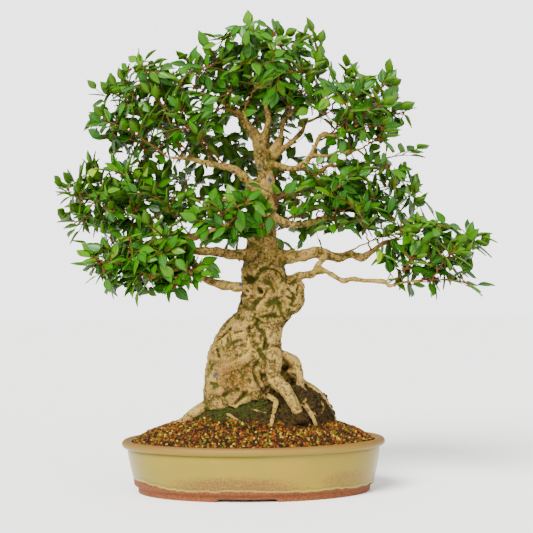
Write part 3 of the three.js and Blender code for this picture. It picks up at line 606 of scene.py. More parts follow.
@dataclass(frozen=True)
class Plain:
    """A small fitting's finish with a faint grain: moulded plastic, drawn wire or dry bud scales."""

    name: str
    colour: str
    dark: str
    roughness: float
    metallic: float = 0.0
    specular: float = 0.2

    def material(self) -> Material:
        """Builds the fitting's material.

        Returns:
            The material.
        """
        material, add, shader = new_material(self.name)
        faint = add(Node.NOISE, add(Node.PLACE), per_mm(2.5), 3.0, 0.55)
        colour = add(Node.RAMP, faint, stops=((0.35, self.dark), (0.65, self.colour)))
        set_shader(shader, colour, None, self.roughness, self.specular)
        shader.inputs["Metallic"].default_value = self.metallic
        return material


DRAIN_PLASTIC = Plain("moulded_drain_plastic", "#2b2b2b", "#151515", 0.6)
BUD_SCALES = Plain("dry_bud_scales", "#6c3c12", "#2e1805", 0.7)
ALUMINIUM_WIRE = Plain("anodised_wire", "#6e5138", "#54402c", 0.38, 1.0, 0.5)


def linked(name: str, data: ID) -> Object:
    """Puts a new object with the given data into the scene.

    Args:
        name: The object's name.
        data: Its mesh, camera or light.

    Returns:
        The object, at the origin.
    """
    thing = bpy.data.objects.new(name, data)
    bpy.context.scene.collection.objects.link(thing)
    return thing


def mesh_object(name: str, points: Iterable, faces: Iterable = (), edges: Iterable = ()) -> Object:
    """Makes a mesh object at the origin.

    Args:
        name: The piece's name.
        points: Its corners, in metres in the frame.
        faces: Its faces, as lists of corners.
        edges: Its loose edges.

    Returns:
        The new object.
    """
    mesh = bpy.data.meshes.new(name)
    mesh.from_pydata([tuple(p) for p in points], [tuple(e) for e in edges], [tuple(f) for f in faces])
    return linked(name, mesh)


def between_rings(rings: int, sides: int, start: int = 0) -> list[tuple[int, int, int, int]]:
    """Lists the faces between rings of corners that follow each other.

    Args:
        rings: How many rings there are.
        sides: How many corners each has.
        start: The number of the first corner.

    Returns:
        The faces.
    """
    faces = []
    for ring in range(start, start + (rings - 1) * sides, sides):
        for i in range(sides):
            a, b = ring + i, ring + (i + 1) % sides
            faces.append((a, b, b + sides, a + sides))
    return faces


def worked_object(name: str, work: bmesh.types.BMesh) -> Object:
    """Makes an object of a mesh that was worked on, and frees it.

    Args:
        name: The object's name.
        work: The mesh.

    Returns:
        The new object.
    """
    mesh = bpy.data.meshes.new(name)
    work.to_mesh(mesh)
    work.free()
    return linked(name, mesh)


def store(piece: Object, name: str, values: Sequence, kind: str = "FLOAT", domain: str = "POINT") -> None:
    """Stores an attribute on a piece's mesh.

    Args:
        piece: The object.
        name: The attribute's name.
        values: One value, or one vector, for each element.
        kind: FLOAT or FLOAT_VECTOR.
        domain: POINT or FACE.
    """
    attribute = piece.data.attributes.new(name, kind, domain)
    key = "vector" if kind == "FLOAT_VECTOR" else "value"
    attribute.data.foreach_set(key, np.asarray(values, np.float32).ravel())


def finished(piece: Object) -> Object:
    """Turns a piece with its modifiers into a plain mesh.

    Args:
        piece: The object.

    Returns:
        The same object.
    """
    graph = bpy.context.evaluated_depsgraph_get()
    mesh = bpy.data.meshes.new_from_object(piece.evaluated_get(graph), preserve_all_data_layers=True,
                                           depsgraph=graph)
    piece.modifiers.clear()
    old = piece.data
    piece.data = mesh
    bpy.data.meshes.remove(old)
    mesh.name = piece.name
    return piece


def remeshed(piece: Object, cell: float) -> Object:
    """Rebuilds a piece as one closed skin.

    Args:
        piece: The object.
        cell: The width of the skin's cells in millimetres.

    Returns:
        The same object.
    """
    remesh = piece.modifiers.new("remesh", "REMESH")
    remesh.mode = "VOXEL"
    remesh.voxel_size = cell * MM
    return finished(piece)


def shade_smooth(piece: Object) -> None:
    """Shades all faces of a piece smooth."""
    piece.data.polygons.foreach_set("use_smooth", [True] * len(piece.data.polygons))


def merged_copy(node: str, name: str) -> Object:
    """Copies a CAD node's mesh with its shared corners merged.

    Args:
        node: The node's name.
        name: The copy's name.

    Returns:
        The copy, which stands in the same place and has no material.
    """
    work = bmesh.new()
    work.from_mesh(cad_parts[node].data)
    bmesh.ops.remove_doubles(work, verts=work.verts, dist=1e-6)
    return worked_object(name, work)


def joined(name: str, pieces: Sequence[Object]) -> Object:
    """Joins several meshes that have no materials into one object.

    Args:
        name: The new object's name.
        pieces: The objects to join, which are removed.

    Returns:
        The joined object.
    """
    work = bmesh.new()
    for piece in pieces:
        work.from_mesh(piece.data)
        bpy.data.objects.remove(piece)
    return worked_object(name, work)


def hand_over(piece: Object, slot: Slot, *nodes: str) -> Object:
    """Lets a finished piece ride on the model and stand for CAD nodes.

    Args:
        piece: The finished object.
        slot: The record's slot that it goes with; not used.
        *nodes: The CAD nodes that it stands for.

    Returns:
        The same object.
    """
    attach(piece, BODY)
    if nodes:
        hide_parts(*nodes)
    return piece


def corners(piece: Object, key: str = "co") -> np.ndarray:
    """Reads the corners of a piece's mesh.

    Args:
        piece: The object.
        key: co for their places, normal for their normals.

    Returns:
        One row for each corner.
    """
    flat = np.zeros(len(piece.data.vertices) * 3, np.float32)
    piece.data.vertices.foreach_get(key, flat)
    return flat.reshape(-1, 3).astype(float)


def in_mm(points: np.ndarray) -> np.ndarray:
    """Turns rows in the frame into millimetres about the middle of the pot's foot."""
    return (points - np.array(placed((0, 0, 0)))) / MM


def move_to(piece: Object, points: np.ndarray) -> None:
    """Moves the corners of a piece's mesh to the rows given."""
    piece.data.vertices.foreach_set("co", points.astype(np.float32).ravel())
    piece.data.update()


def relaxed(piece: Object, values: np.ndarray, rounds: int, share: np.ndarray | float = 1.0) -> np.ndarray:
    """Averages values over the mesh's edges, round by round.

    Args:
        piece: The object whose edges are followed.
        values: One row or number for each corner.
        rounds: How often.
        share: How much of each average is taken, for all corners or for each.

    Returns:
        The smoothed values.
    """
    ends = np.zeros(len(piece.data.edges) * 2, np.int32)
    piece.data.edges.foreach_get("vertices", ends)
    first, second = ends.reshape(-1, 2).T
    count = len(piece.data.vertices)
    degree = np.maximum(np.bincount(first, minlength=count) + np.bincount(second, minlength=count), 1)
    rows = values.reshape(count, -1).astype(float)
    keep = np.broadcast_to(np.asarray(share, float).reshape(-1, 1), (count, 1))
    for _ in range(rounds):
        total = np.empty_like(rows)
        for column in range(rows.shape[1]):
            total[:, column] = (np.bincount(first, rows[second, column], count)
                                + np.bincount(second, rows[first, column], count))
        rows = rows + keep * (total / degree[:, None] - rows)
    return rows.reshape(values.shape)


def near_line(points: np.ndarray, line: np.ndarray, span: float) -> tuple[np.ndarray, np.ndarray]:
    """Measures how far corners near a line are from its points.

    Args:
        points: The corners, one to a row.
        line: The line's points, one to a row.
        span: How far outside the line's box a corner is still near, in metres.

    Returns:
        The numbers of the near corners, and for each its distances from the line's points.
    """
    near = np.where(((points > line.min(0) - span) & (points < line.max(0) + span)).all(1))[0]
    return near, np.linalg.norm(points[near, None, :] - line[None, :, :], axis=2)


def smooth_line(points: Sequence[Vector], spacing: float) -> list[Vector]:
    """Lays a smooth line through points.

    Args:
        points: The points to pass, in order.
        spacing: The distance between the new points, in metres.

    Returns:
        Points on a Catmull-Rom line.
    """
    ends = [2 * points[0] - points[1], *points, 2 * points[-1] - points[-2]]
    line = []
    for before, start, end, after in zip(ends, ends[1:], ends[2:], ends[3:]):
        count = max(2, round((end - start).length / spacing))
        bend = [(end - before) / 6, (after - start) / 6]
        line += interpolate_bezier(start, start + bend[0], end - bend[1], end, count + 1)[:-1]
    return [Vector(p) for p in line] + [Vector(points[-1])]


def lengths_along(line: Sequence[Vector]) -> list[float]:
    """Measures how far along a line its points are.

    Args:
        line: The points.

    Returns:
        For each point the share of the whole length up to it.
    """
    run = [0.0]
    for start, end in zip(line, line[1:]):
        run.append(run[-1] + (end - start).length)
    return [length / run[-1] for length in run]


def point_at(line: Sequence[Vector], share: float) -> Vector:
    """Finds a place on a line of points.

    Args:
        line: The points.
        share: How far along, counted in points as the CAD source does.

    Returns:
        The point there.
    """
    place = share * (len(line) - 1)
    i = min(int(place), len(line) - 2)
    return line[i].lerp(line[i + 1], place - i)


class Lines:
    """Lines with a radius along them, gathered for one mesh of edges."""

    def __init__(self) -> None:
        """Starts with none."""
        self.points: list[Vector] = []
        self.edges: list[tuple[int, int]] = []
        self.radii: list[float] = []

    def add(self, line: Sequence[Vector], radii: Sequence[float]) -> None:
        """Takes a line.

        Args:
            line: Its points.
            radii: The radius at each of them, in millimetres.
        """
        start = len(self.points)
        self.points += line
        self.radii += [radius * MM for radius in radii]
        self.edges += [(i, i + 1) for i in range(start, len(self.points) - 1)]

    def limbs(self, name: str, sides: int, finish: Optional[Material] = None) -> Object:
        """Turns the lines into round limbs.

        Args:
            name: The piece's name.
            sides: The number of a limb's sides.
            finish: Its material, or None.

        Returns:
            The piece.
        """
        piece = mesh_object(name, self.points, edges=self.edges)
        store(piece, "thickness", self.radii)
        values = {"Sides": sides} if finish is None else {"Sides": sides, "Finish": finish}
        return grow_with(piece, limb_tree(), values)


def surface_of(pieces: Sequence[Object]) -> BVHTree:
    """Builds a search tree over the faces of several meshes.

    Args:
        pieces: The meshes' objects.

    Returns:
        The tree.
    """
    points, faces = [], []
    for piece in pieces:
        start = len(points)
        points += [v.co for v in piece.data.vertices]
        faces += [[start + i for i in face.vertices] for face in piece.data.polygons]
    return BVHTree.FromPolygons(points, faces)


def seen_at(surface: BVHTree, places: Iterable[Pair]) -> list[Vector]:
    """Finds what the camera sees behind places of the picture.

    Args:
        surface: The surfaces to look at.
        places: x and height of each place in millimetres, in the plane through the pot's middle.

    Returns:
        The points on the surface, without the places where there is nothing.
    """
    eye = Camera().place()
    found = (surface.ray_cast(eye, (placed((x, 0.0, z)) - eye).normalized())[0] for x, z in places)
    return [point for point in found if point is not None]


def in_picture(pixel: Pair) -> Pair:
    """Turns a pixel of the photograph into x and height in the plane through the pot's middle."""
    return (pixel[0] - PHOTO_MIDDLE) * PHOTO_SCALE, (PHOTO_FOOT - pixel[1]) * PHOTO_SCALE


@dataclass(frozen=True)
class Branch:
    """A branch, leader or root: its route and its sprays' tips, in millimetres about the pot's middle."""

    name: str
    radii: Pair
    route: tuple[Point, ...]
    tips: tuple[Point, ...] = ()

    def line(self, spacing: float) -> list[Vector]:
        """Gives the branch's middle line in the frame, with points so far apart in metres."""
        return smooth_line([placed(p) for p in self.route], spacing)

    def radius(self, share: float | np.ndarray) -> float | np.ndarray:
        """Gives the radius in millimetres so far along the branch."""
        return self.radii[0] + (self.radii[1] - self.radii[0]) * share

    def nodes(self) -> list[str]:
        """Names the CAD nodes of the branch's sprays."""
        return [f"spray_{self.name}_{i + 1}" for i in range(len(self.tips))]


BRANCHES = (
    Branch("leader_left", (9, 2.2), ((17, 0, 528), (4, 2, 548), (-7, 4, 562), (-19, 6, 576), (-34, 8, 589),
           (-56, 10, 601), (-81, 14, 610)), ((-76, 0, 642), (-32, -60, 644), (-47, 65, 667))),
    Branch("leader_mid", (6, 2), ((19, 0, 524), (27, -4, 546), (32, -8, 564), (28, -12, 582), (32, -16, 603),
           (39, -18, 626), (42, -20, 650)), ((36, -10, 682), (50, 55, 689))),
    Branch("leader_right", (4.5, 1.8), ((24, 2, 505), (47, 10, 529), (50, 16, 551), (53, 20, 564),
           (66, 26, 577), (81, 30, 598), (97, 34, 620)), ((110, 25, 680), (87, -70, 632))),
    Branch("front_high", (4.5, 2), ((22, -6, 508), (12, -34, 530), (4, -64, 548), (0, -88, 566)),
           ((30, -120, 606), (-38, -118, 566))),
    Branch("back_high", (5, 2), ((22, 6, 500), (26, 40, 528), (28, 78, 562), (32, 112, 592)),
           ((-6, 150, 640), (72, 150, 620))),
    Branch("left_upper", (9, 2.2), ((22, -2, 456), (6, -10, 461), (-5, -16, 473), (-18, -22, 484),
           (-38, -28, 491), (-65, -34, 496), (-91, -40, 503), (-118, -44, 504)),
           ((-220, -30, 566), (-160, -10, 648), (-212, 30, 612), (-129, 76, 590), (-96, -92, 556))),
    Branch("left_mid", (9, 2.2), ((10, 6, 403), (-19, 14, 402), (-45, 20, 398), (-72, 26, 390),
           (-96, 30, 387), (-134, 38, 395), (-161, 42, 393), (-195, 46, 404), (-227, 48, 411)),
           ((-278, 38, 415), (-246, 20, 490), (-270, -14, 452), (-199, 92, 488), (-140, -76, 452))),
    Branch("back_left", (7, 2.2), ((14, 12, 428), (-16, 44, 440), (-54, 78, 446), (-98, 108, 452),
           (-140, 130, 456)), ((-222, 140, 448), (-110, 172, 500))),
    Branch("left_low", (10, 2.2), ((14, -4, 362), (-7, -14, 358), (-29, -20, 358), (-56, -26, 363),
           (-81, -30, 364), (-99, -34, 369), (-121, -38, 366), (-147, -44, 354), (-177, -48, 348),
           (-203, -52, 355)), ((-196, -98, 388), (-242, -40, 376), (-134, -104, 398))),
    Branch("left_bottom", (8.5, 1.8), ((10, -24, 304), (-14, -34, 308), (-40, -40, 312), (-63, -46, 320),
           (-82, -50, 329), (-95, -54, 338), (-115, -60, 338), (-144, -68, 324), (-157, -72, 333),
           (-175, -76, 343)), ((-216, -104, 346), (-88, -104, 330))),
    Branch("back_low", (8, 2.2), ((20, 14, 356), (12, 50, 368), (2, 88, 374), (-6, 124, 382)),
           ((-80, 168, 402), (62, 176, 408))),
    Branch("right_top", (5.5, 2), ((22, 2, 498), (38, 6, 506), (54, 12, 521), (71, 18, 535), (83, 24, 549),
           (82, 28, 560), (96, 32, 564), (124, 38, 577)), ((156, 20, 627), (139, 98, 604))),
    Branch("right_upper", (6, 2), ((24, 0, 494), (41, -2, 492), (60, -6, 487), (81, -10, 488), (92, -12, 502),
           (100, -14, 515), (108, -16, 531), (116, -18, 538), (129, -22, 532), (147, -26, 538),
           (170, -30, 549)), ((212, -30, 612), (204, -82, 570), (235, 6, 570))),
    Branch("right_fork", (3, 1.8), ((93, -12, 503), (106, -18, 505), (121, -22, 503), (138, -26, 510),
           (147, -28, 506), (172, -34, 512)), ((206, -50, 526),)),
    Branch("right_under", (3.8, 1.8), ((80, -9, 488), (95, -4, 482), (108, 0, 480), (120, 4, 491),
           (135, 8, 490), (168, 14, 490), (198, 18, 498)), ((244, 24, 506),)),
    Branch("right_mid", (7, 2.2), ((26, 0, 421), (43, 4, 410), (60, 10, 403), (79, 18, 402), (100, 26, 408),
           (125, 34, 420), (155, 42, 428), (186, 48, 434)),
           ((113, -28, 456), (169, 74, 480), (240, 40, 458))),
    Branch("right_main", (12, 2.4), ((30, 0, 352), (60, 2, 353), (83, 6, 355), (104, 10, 361), (116, 12, 355),
           (135, 14, 351), (151, 14, 356), (168, 12, 349), (183, 8, 358), (203, 5, 372), (227, 0, 379)),
           ((255, -4, 427), (168, -62, 410), (288, 34, 388), (232, -62, 384))),
    Branch("back_right", (7, 2.2), ((28, 10, 440), (58, 42, 452), (92, 74, 462), (122, 100, 470)),
           ((196, 140, 486), (104, 166, 524))),
    Branch("right_low", (6, 1.6), ((54, -6, 316), (76, -10, 324), (94, -12, 326), (108, -18, 333),
           (124, -22, 325), (141, -26, 315), (154, -28, 318), (173, -30, 315), (202, -34, 314),
           (208, -36, 306), (219, -40, 309), (243, -46, 313), (269, -50, 311)),
           ((304, -64, 356), (336, -52, 306), (250, -84, 344))),
    Branch("right_bridge", (4.6, 4.6), ((99, -15, 330), (104, -12, 340), (111, -3, 350), (118, 8, 356))),
    Branch("front_left", (5, 2), ((14, -14, 374), (-2, -42, 386), (-16, -68, 396), (-26, -88, 404)),
           ((-36, -128, 422),)),
    Branch("front_right", (4.5, 2), ((26, -10, 402), (36, -40, 410), (42, -66, 418), (46, -86, 424)),
           ((48, -122, 440),)),
)


ROOTS = (
    Branch("root_finger", (11.5, 7.5), ((36, -30, 212), (37, -45, 194), (34, -50, 177), (44, -54, 163),
           (56, -58, 152), (72, -66, 124))),
    Branch("root_arch", (8, 5), ((30, -10, 204), (48, -12, 204), (65, -14, 195), (71, -17, 180),
           (74, -20, 156), (77, -22, 130))),
    Branch("root_hood", (7.5, 4), ((62, 0, 178), (75, 4, 161), (94, 2, 150), (108, 0, 136), (124, 0, 104))),
    Branch("root_left", (11, 5), ((-50, -8, 142), (-72, -12, 128), (-88, -16, 118), (-103, -18, 107),
           (-120, -20, 92))),
    Branch("root_small", (4.5, 2.8), ((24, -34, 146), (38, -44, 138), (38, -60, 130), (34, -78, 110),
           (33, -78, 98))),
    Branch("root_fork", (4.5, 2.6), ((74, -14, 156), (87, -28, 141), (82, -44, 133), (95, -62, 112),
           (99, -58, 98))),
    Branch("root_back_left", (11, 5), ((-20, 34, 148), (-44, 62, 129), (-66, 86, 104), (-74, 94, 84))),
    Branch("root_back_right", (10, 5), ((34, 30, 160), (58, 58, 132), (80, 80, 106), (86, 86, 90))),
)


def geometry_tree(name: str, inputs: Sequence[tuple[str, str, object]]) -> tuple[Adder, BlenderNode]:
    """Starts a Geometry Nodes tree with named inputs.

    Args:
        name: The tree's name.
        inputs: For each input after the geometry its name, its socket type and its default value.

    Returns:
        A function that adds a node to the tree, and the tree's input node.
    """
    tree = bpy.data.node_groups.new(name, "GeometryNodeTree")
    tree.interface.new_socket("Geometry", in_out="INPUT", socket_type="NodeSocketGeometry")
    tree.interface.new_socket("Geometry", in_out="OUTPUT", socket_type="NodeSocketGeometry")
    for label, kind, value in inputs:
        socket = tree.interface.new_socket(label, in_out="INPUT", socket_type=kind)
        if value is not None:
            socket.default_value = value
    return partial(add_node, tree), add_node(tree, Node.START).node


def end_tree(start: BlenderNode, made: Sequence[NodeSocket],
             finishes: Sequence[tuple[NodeSocket, Feed]]) -> NodeTree:
    """Ends a Geometry Nodes tree: what it made is joined, made real and dressed.

    Args:
        start: The tree's input node.
        made: The geometry that the tree made.
        finishes: Each finish's socket, and which faces get it. None stands for all.

    Returns:
        The tree.
    """
    add = partial(add_node, start.id_data)
    whole = add(Node.JOIN)
    for geometry in made:
        feed(whole.node.inputs[0], geometry)
    dressed = add(Node.REALIZE, whole)
    for finish, faces in finishes:
        dressed = add(Node.SET_MATERIAL, dressed, faces, finish)
    add(Node.END, dressed)
    return start.id_data


def grow_with(piece: Object, tree: NodeTree, values: dict[str, object]) -> Object:
    """Runs a Geometry Nodes tree on a piece and keeps its result as a plain mesh.

    Args:
        piece: The object that the tree starts from.
        tree: The tree.
        values: A value for each named input.

    Returns:
        The same object with its new mesh.
    """
    modifier = piece.modifiers.new(tree.name, "NODES")
    modifier.node_group = tree
    for socket in tree.interface.items_tree:
        if socket.in_out == "INPUT" and socket.name in values:
            modifier[socket.identifier] = values[socket.name]
    return finished(piece)


def limb_tree() -> NodeTree:
    """Builds the tree that turns lines with a thickness attribute into round limbs.

    Returns:
        The tree.
    """
    add, start = geometry_tree("round_limbs", [
        ("Sides", "NodeSocketInt", 8), ("Finish", "NodeSocketMaterial", None)])
    circle = add(Node.CIRCLE, start.outputs["Sides"], 1.0)
    tubes = add(Node.TUBE, add(Node.TO_CURVE, start.outputs[0]), circle, add(Node.NAMED, "thickness"), True)
    return end_tree(start, [add(Node.SHADE_SMOOTH, tubes)], [(start.outputs["Finish"], None)])


@dataclass
class Camera:
    """The photograph's viewpoint: its heights and distances in millimetres about the pot's middle."""

    aim: Point = (24.4, 0.0, 339.0)
    distance: float = 2110.0
    height: float = 307.0
    turn: float = 4.0
    roll: float = 0.9
    lens: float = 93.7

    def place(self) -> Vector:
        """Gives the camera's place in the frame."""
        x, y = (self.distance * turned(math.radians(self.turn)) for turned in (math.sin, math.cos))
        return placed((self.aim[0] + x, -y, self.height))

    def build(self) -> None:
        """Makes the scene's camera."""
        data = bpy.data.cameras.new("photo_camera")
        data.lens = self.lens
        data.clip_end = 100.0
        camera = linked("photo_camera", data)
        camera.location = self.place()
        camera.rotation_mode = "QUATERNION"
        heading = placed(self.aim) - camera.location
        rolled = Quaternion((0.0, 0.0, 1.0), -math.radians(self.roll))
        camera.rotation_quaternion = heading.to_track_quat("-Z", "Y") @ rolled
        bpy.context.scene.camera = camera


@dataclass
class Studio:
    """A pale floor, a pale room and two soft lamps as wide as windows."""

    floor_half: float = 12.0
    floor_colour: str = "#f4f3f0"
    floor_roughness: float = 0.7
    room_colour: str = "#ffffff"
    room_strength: float = 1.25
    backdrop_strength: float = 3.22
    # Name, direction that it shines from, angle that it fills in degrees, and strength.
    lamps: tuple[tuple[str, Point, float, float], ...] = (
        ("key", (-0.34, -0.72, 0.66), 32.0, 10.8), ("fill", (0.6, -0.8, 0.22), 60.0, 2.8))

    def build(self) -> None:
        """Makes the floor, the room's light and the lamps."""
        half = self.floor_half
        outline = [(-half, -half, 0.0), (half, -half, 0.0), (half, half, 0.0), (-half, half, 0.0)]
        floor = mesh_object("studio_floor", outline, [(0, 1, 2, 3)])
        material, _, shader = new_material("painted_floor")
        shader.inputs["Base Color"].default_value = linear(self.floor_colour)
        shader.inputs["Roughness"].default_value = self.floor_roughness
        floor.data.materials.append(material)
        world = bpy.data.worlds.new("studio_room")
        world.use_nodes = True
        background = world.node_tree.nodes["Background"]
        background.inputs["Color"].default_value = linear(self.room_colour)
        more = self.backdrop_strength - self.room_strength
        is_seen = add_node(world.node_tree, Node.LIGHT_PATH)
        strength = add_node(world.node_tree, Node.MULTIPLY_ADD, is_seen, more, self.room_strength)
        feed(background.inputs["Strength"], strength)
        bpy.context.scene.world = world
        for name, direction, angle, strength in self.lamps:
            data = bpy.data.lights.new(name, "SUN")
            data.angle = math.radians(angle)
            data.energy = strength
            lamp = linked(name, data)
            lamp.location = direction
            lamp.rotation_mode = "QUATERNION"
            lamp.rotation_quaternion = (-Vector(direction)).to_track_quat("-Z", "Y")


@dataclass
class Pot:
    """The oval stoneware pot. Lengths run along the long axis, in millimetres."""

    lip_height: float = 11.5
    lip_reach: float = 8.0
    lip_roll: float = 6.0
    wall_lean: float = 9.0
    wall_thickness: float = 9.0
    foot_step: float = 7.0
    foot_width: float = 14.0
    foot_height: float = 5.0
    foot_cove: Pair = (1.6, 8.5)
    wall_belly: float = 0.8
    floor_thickness: float = 6.5
    recess_width: float = 92.0
    recess_slope: float = 5.0
    recess_height: float = 4.5
    drain_radius: float = 14.0
    drain_offset: float = 82.0
    floor_bend: float = 150.0
    sides: int = 160
    hole_sides: int = 32
    wobble: float = 0.35
    waver: float = 0.0012
    half_length: float = field(init=False)
    half_depth: float = field(init=False)
    height: float = field(init=False)

    def __post_init__(self) -> None:
        """Takes the pot's outer sizes from the frame."""
        self.half_length = (POT_HIGH.x - POT_LOW.x) / 2 / MM
        self.half_depth = (POT_HIGH.y - POT_LOW.y) / 2 / MM
        self.height = POT_HIGH.z / MM

    def profile(self) -> list[Pair]:
        """Draws the wall's section.

        Returns:
            Half length and height of each corner, from the floor's underside round to its top.
        """
        wall_top = self.half_length - self.lip_reach
        wall_foot = wall_top - self.wall_lean
        foot = wall_foot - self.foot_step
        inside = foot - self.foot_width
        floor_top = self.foot_height + self.floor_thickness
        lip_under = self.height - self.lip_height
        inner_top = wall_top - self.wall_thickness
        inner_foot = wall_foot - self.wall_thickness
        middle, level = self.half_length - self.lip_roll, self.height - self.lip_roll
        roll = [(middle + self.lip_roll * math.cos(a), level + self.lip_roll * math.sin(a))
                for a in (math.radians(d) for d in range(-80, 111, 19))]
        wide, tall = self.foot_cove
        cove = [(wall_foot - wide + wide * math.sin(a), floor_top + tall - tall * math.cos(a))
                for a in (math.radians(d) for d in range(0, 91, 15))]
        wall = [(wall_foot + (wall_top - wall_foot) * s + self.wall_belly * math.sin(s * math.pi),
                 floor_top + tall + (lip_under - 4.0 - floor_top - tall) * s)
                for s in (0.15, 0.35, 0.55, 0.75, 0.92)]
        return [
            (0.0, self.foot_height), (foot * 0.5, self.foot_height), (inside - 1.5, self.foot_height),
            (inside, 0.6), (inside + 0.8, 0.0), (foot - 0.8, 0.0), (foot, 0.8),
            (foot + 0.4, floor_top - 4.0), (foot + 1.2, floor_top - 2.6), (wall_foot - 2.6, floor_top - 0.8),
            *cove, *wall, (wall_top - 0.2, lip_under - 2.0), (wall_top - 0.7, lip_under - 0.6),
            (wall_top - 0.4, lip_under + 0.6), (self.half_length - 4.6, lip_under + 0.2), *roll,
            (inner_top + 2.6, self.height - 2.4), (inner_top + 0.6, self.height - 6.5),
            (inner_top, lip_under - 4.0), (inner_foot + 1.0, floor_top + 12.0),
            (inner_foot - 1.2, floor_top + 5.0), (inner_foot - 9.0, floor_top),
            (inner_foot * 0.5, floor_top), (0.0, floor_top),
        ]

    def depth_of(self, half: float) -> float:
        """Gives the half depth that goes with a half length."""
        less = self.half_length - self.half_depth
        return half - less if half > self.floor_bend else half * (1 - less / self.floor_bend)

    def turned(self) -> Object:
        """Turns the section round the oval.

        Returns:
            The pot without its recesses and drain holes.
        """
        section = self.profile()
        points = []
        for half, height in section[1:-1]:
            for side in range(self.sides):
                angle = 2 * math.pi * side / self.sides
                lift = self.wobble * math.sin(2 * angle + 1) * min(1.0, height / self.height)
                out = 1 + self.waver * math.sin(3 * angle + height / 20) - self.waver
                x, y = half * out * math.cos(angle), self.depth_of(half) * out * math.sin(angle)
                points.append(placed((x, y, height - abs(lift))))
        rings = len(section) - 2
        faces = between_rings(rings, self.sides)
        bottom, top = len(points), len(points) + 1
        points += [placed((0.0, 0.0, section[0][1])), placed((0.0, 0.0, section[-1][1]))]
        last = (rings - 1) * self.sides
        for side in range(self.sides):
            after = (side + 1) % self.sides
            faces += [(bottom, after, side), (top, last + side, last + after)]
        return mesh_object("pot_stoneware", points, faces)

    def cutters(self) -> Object:
        """Makes the tools that cut the two recesses in the foot and the drain holes.

        Returns:
            The tools as one object.
        """
        low, high, top = self.recess_width / 2, self.recess_width / 2 - self.recess_slope, self.recess_height
        outline = [(-low, -2.0), (low, -2.0), (low, 0.0), (high, top), (-high, top), (-low, 0.0)]
        tools = [[[(x, y, z) for x, z in outline] for y in (self.half_depth + 5, -self.half_depth - 5)]]
        for middle in (-self.drain_offset, self.drain_offset):
            hole = [(middle + self.drain_radius * math.cos(a), self.drain_radius * math.sin(a))
                    for a in (2 * math.pi * i / self.hole_sides for i in range(self.hole_sides))]
            tools.append([[(x, y, z) for x, y in hole] for z in (-3.0, 30.0)])
        points, faces = [], []
        for first, last in tools:
            start, count = len(points), len(first)
            points += [placed(p) for p in (*first, *last)]
            faces += [tuple(reversed(range(start, start + count))), tuple(range(start + count, len(points)))]
            faces += between_rings(2, count, start)
        return mesh_object("pot_cutters", points, faces)

    def build(self) -> Object:
        """Makes the finished pot.

        Returns:
            The pot.
        """
        pot = self.turned()
        tool = self.cutters()
        cut = pot.modifiers.new("cut", "BOOLEAN")
        cut.operation = "DIFFERENCE"
        cut.solver = "EXACT"
        cut.object = tool
        finished(pot)
        bpy.data.objects.remove(tool)
        pot.data.materials.clear()
        pot.data.materials.append(Glaze().material())
        shade_smooth(pot)
        pot.data.set_sharp_from_angle(angle=math.radians(38))
        return hand_over(pot, Slot.GLAZE, "pot")


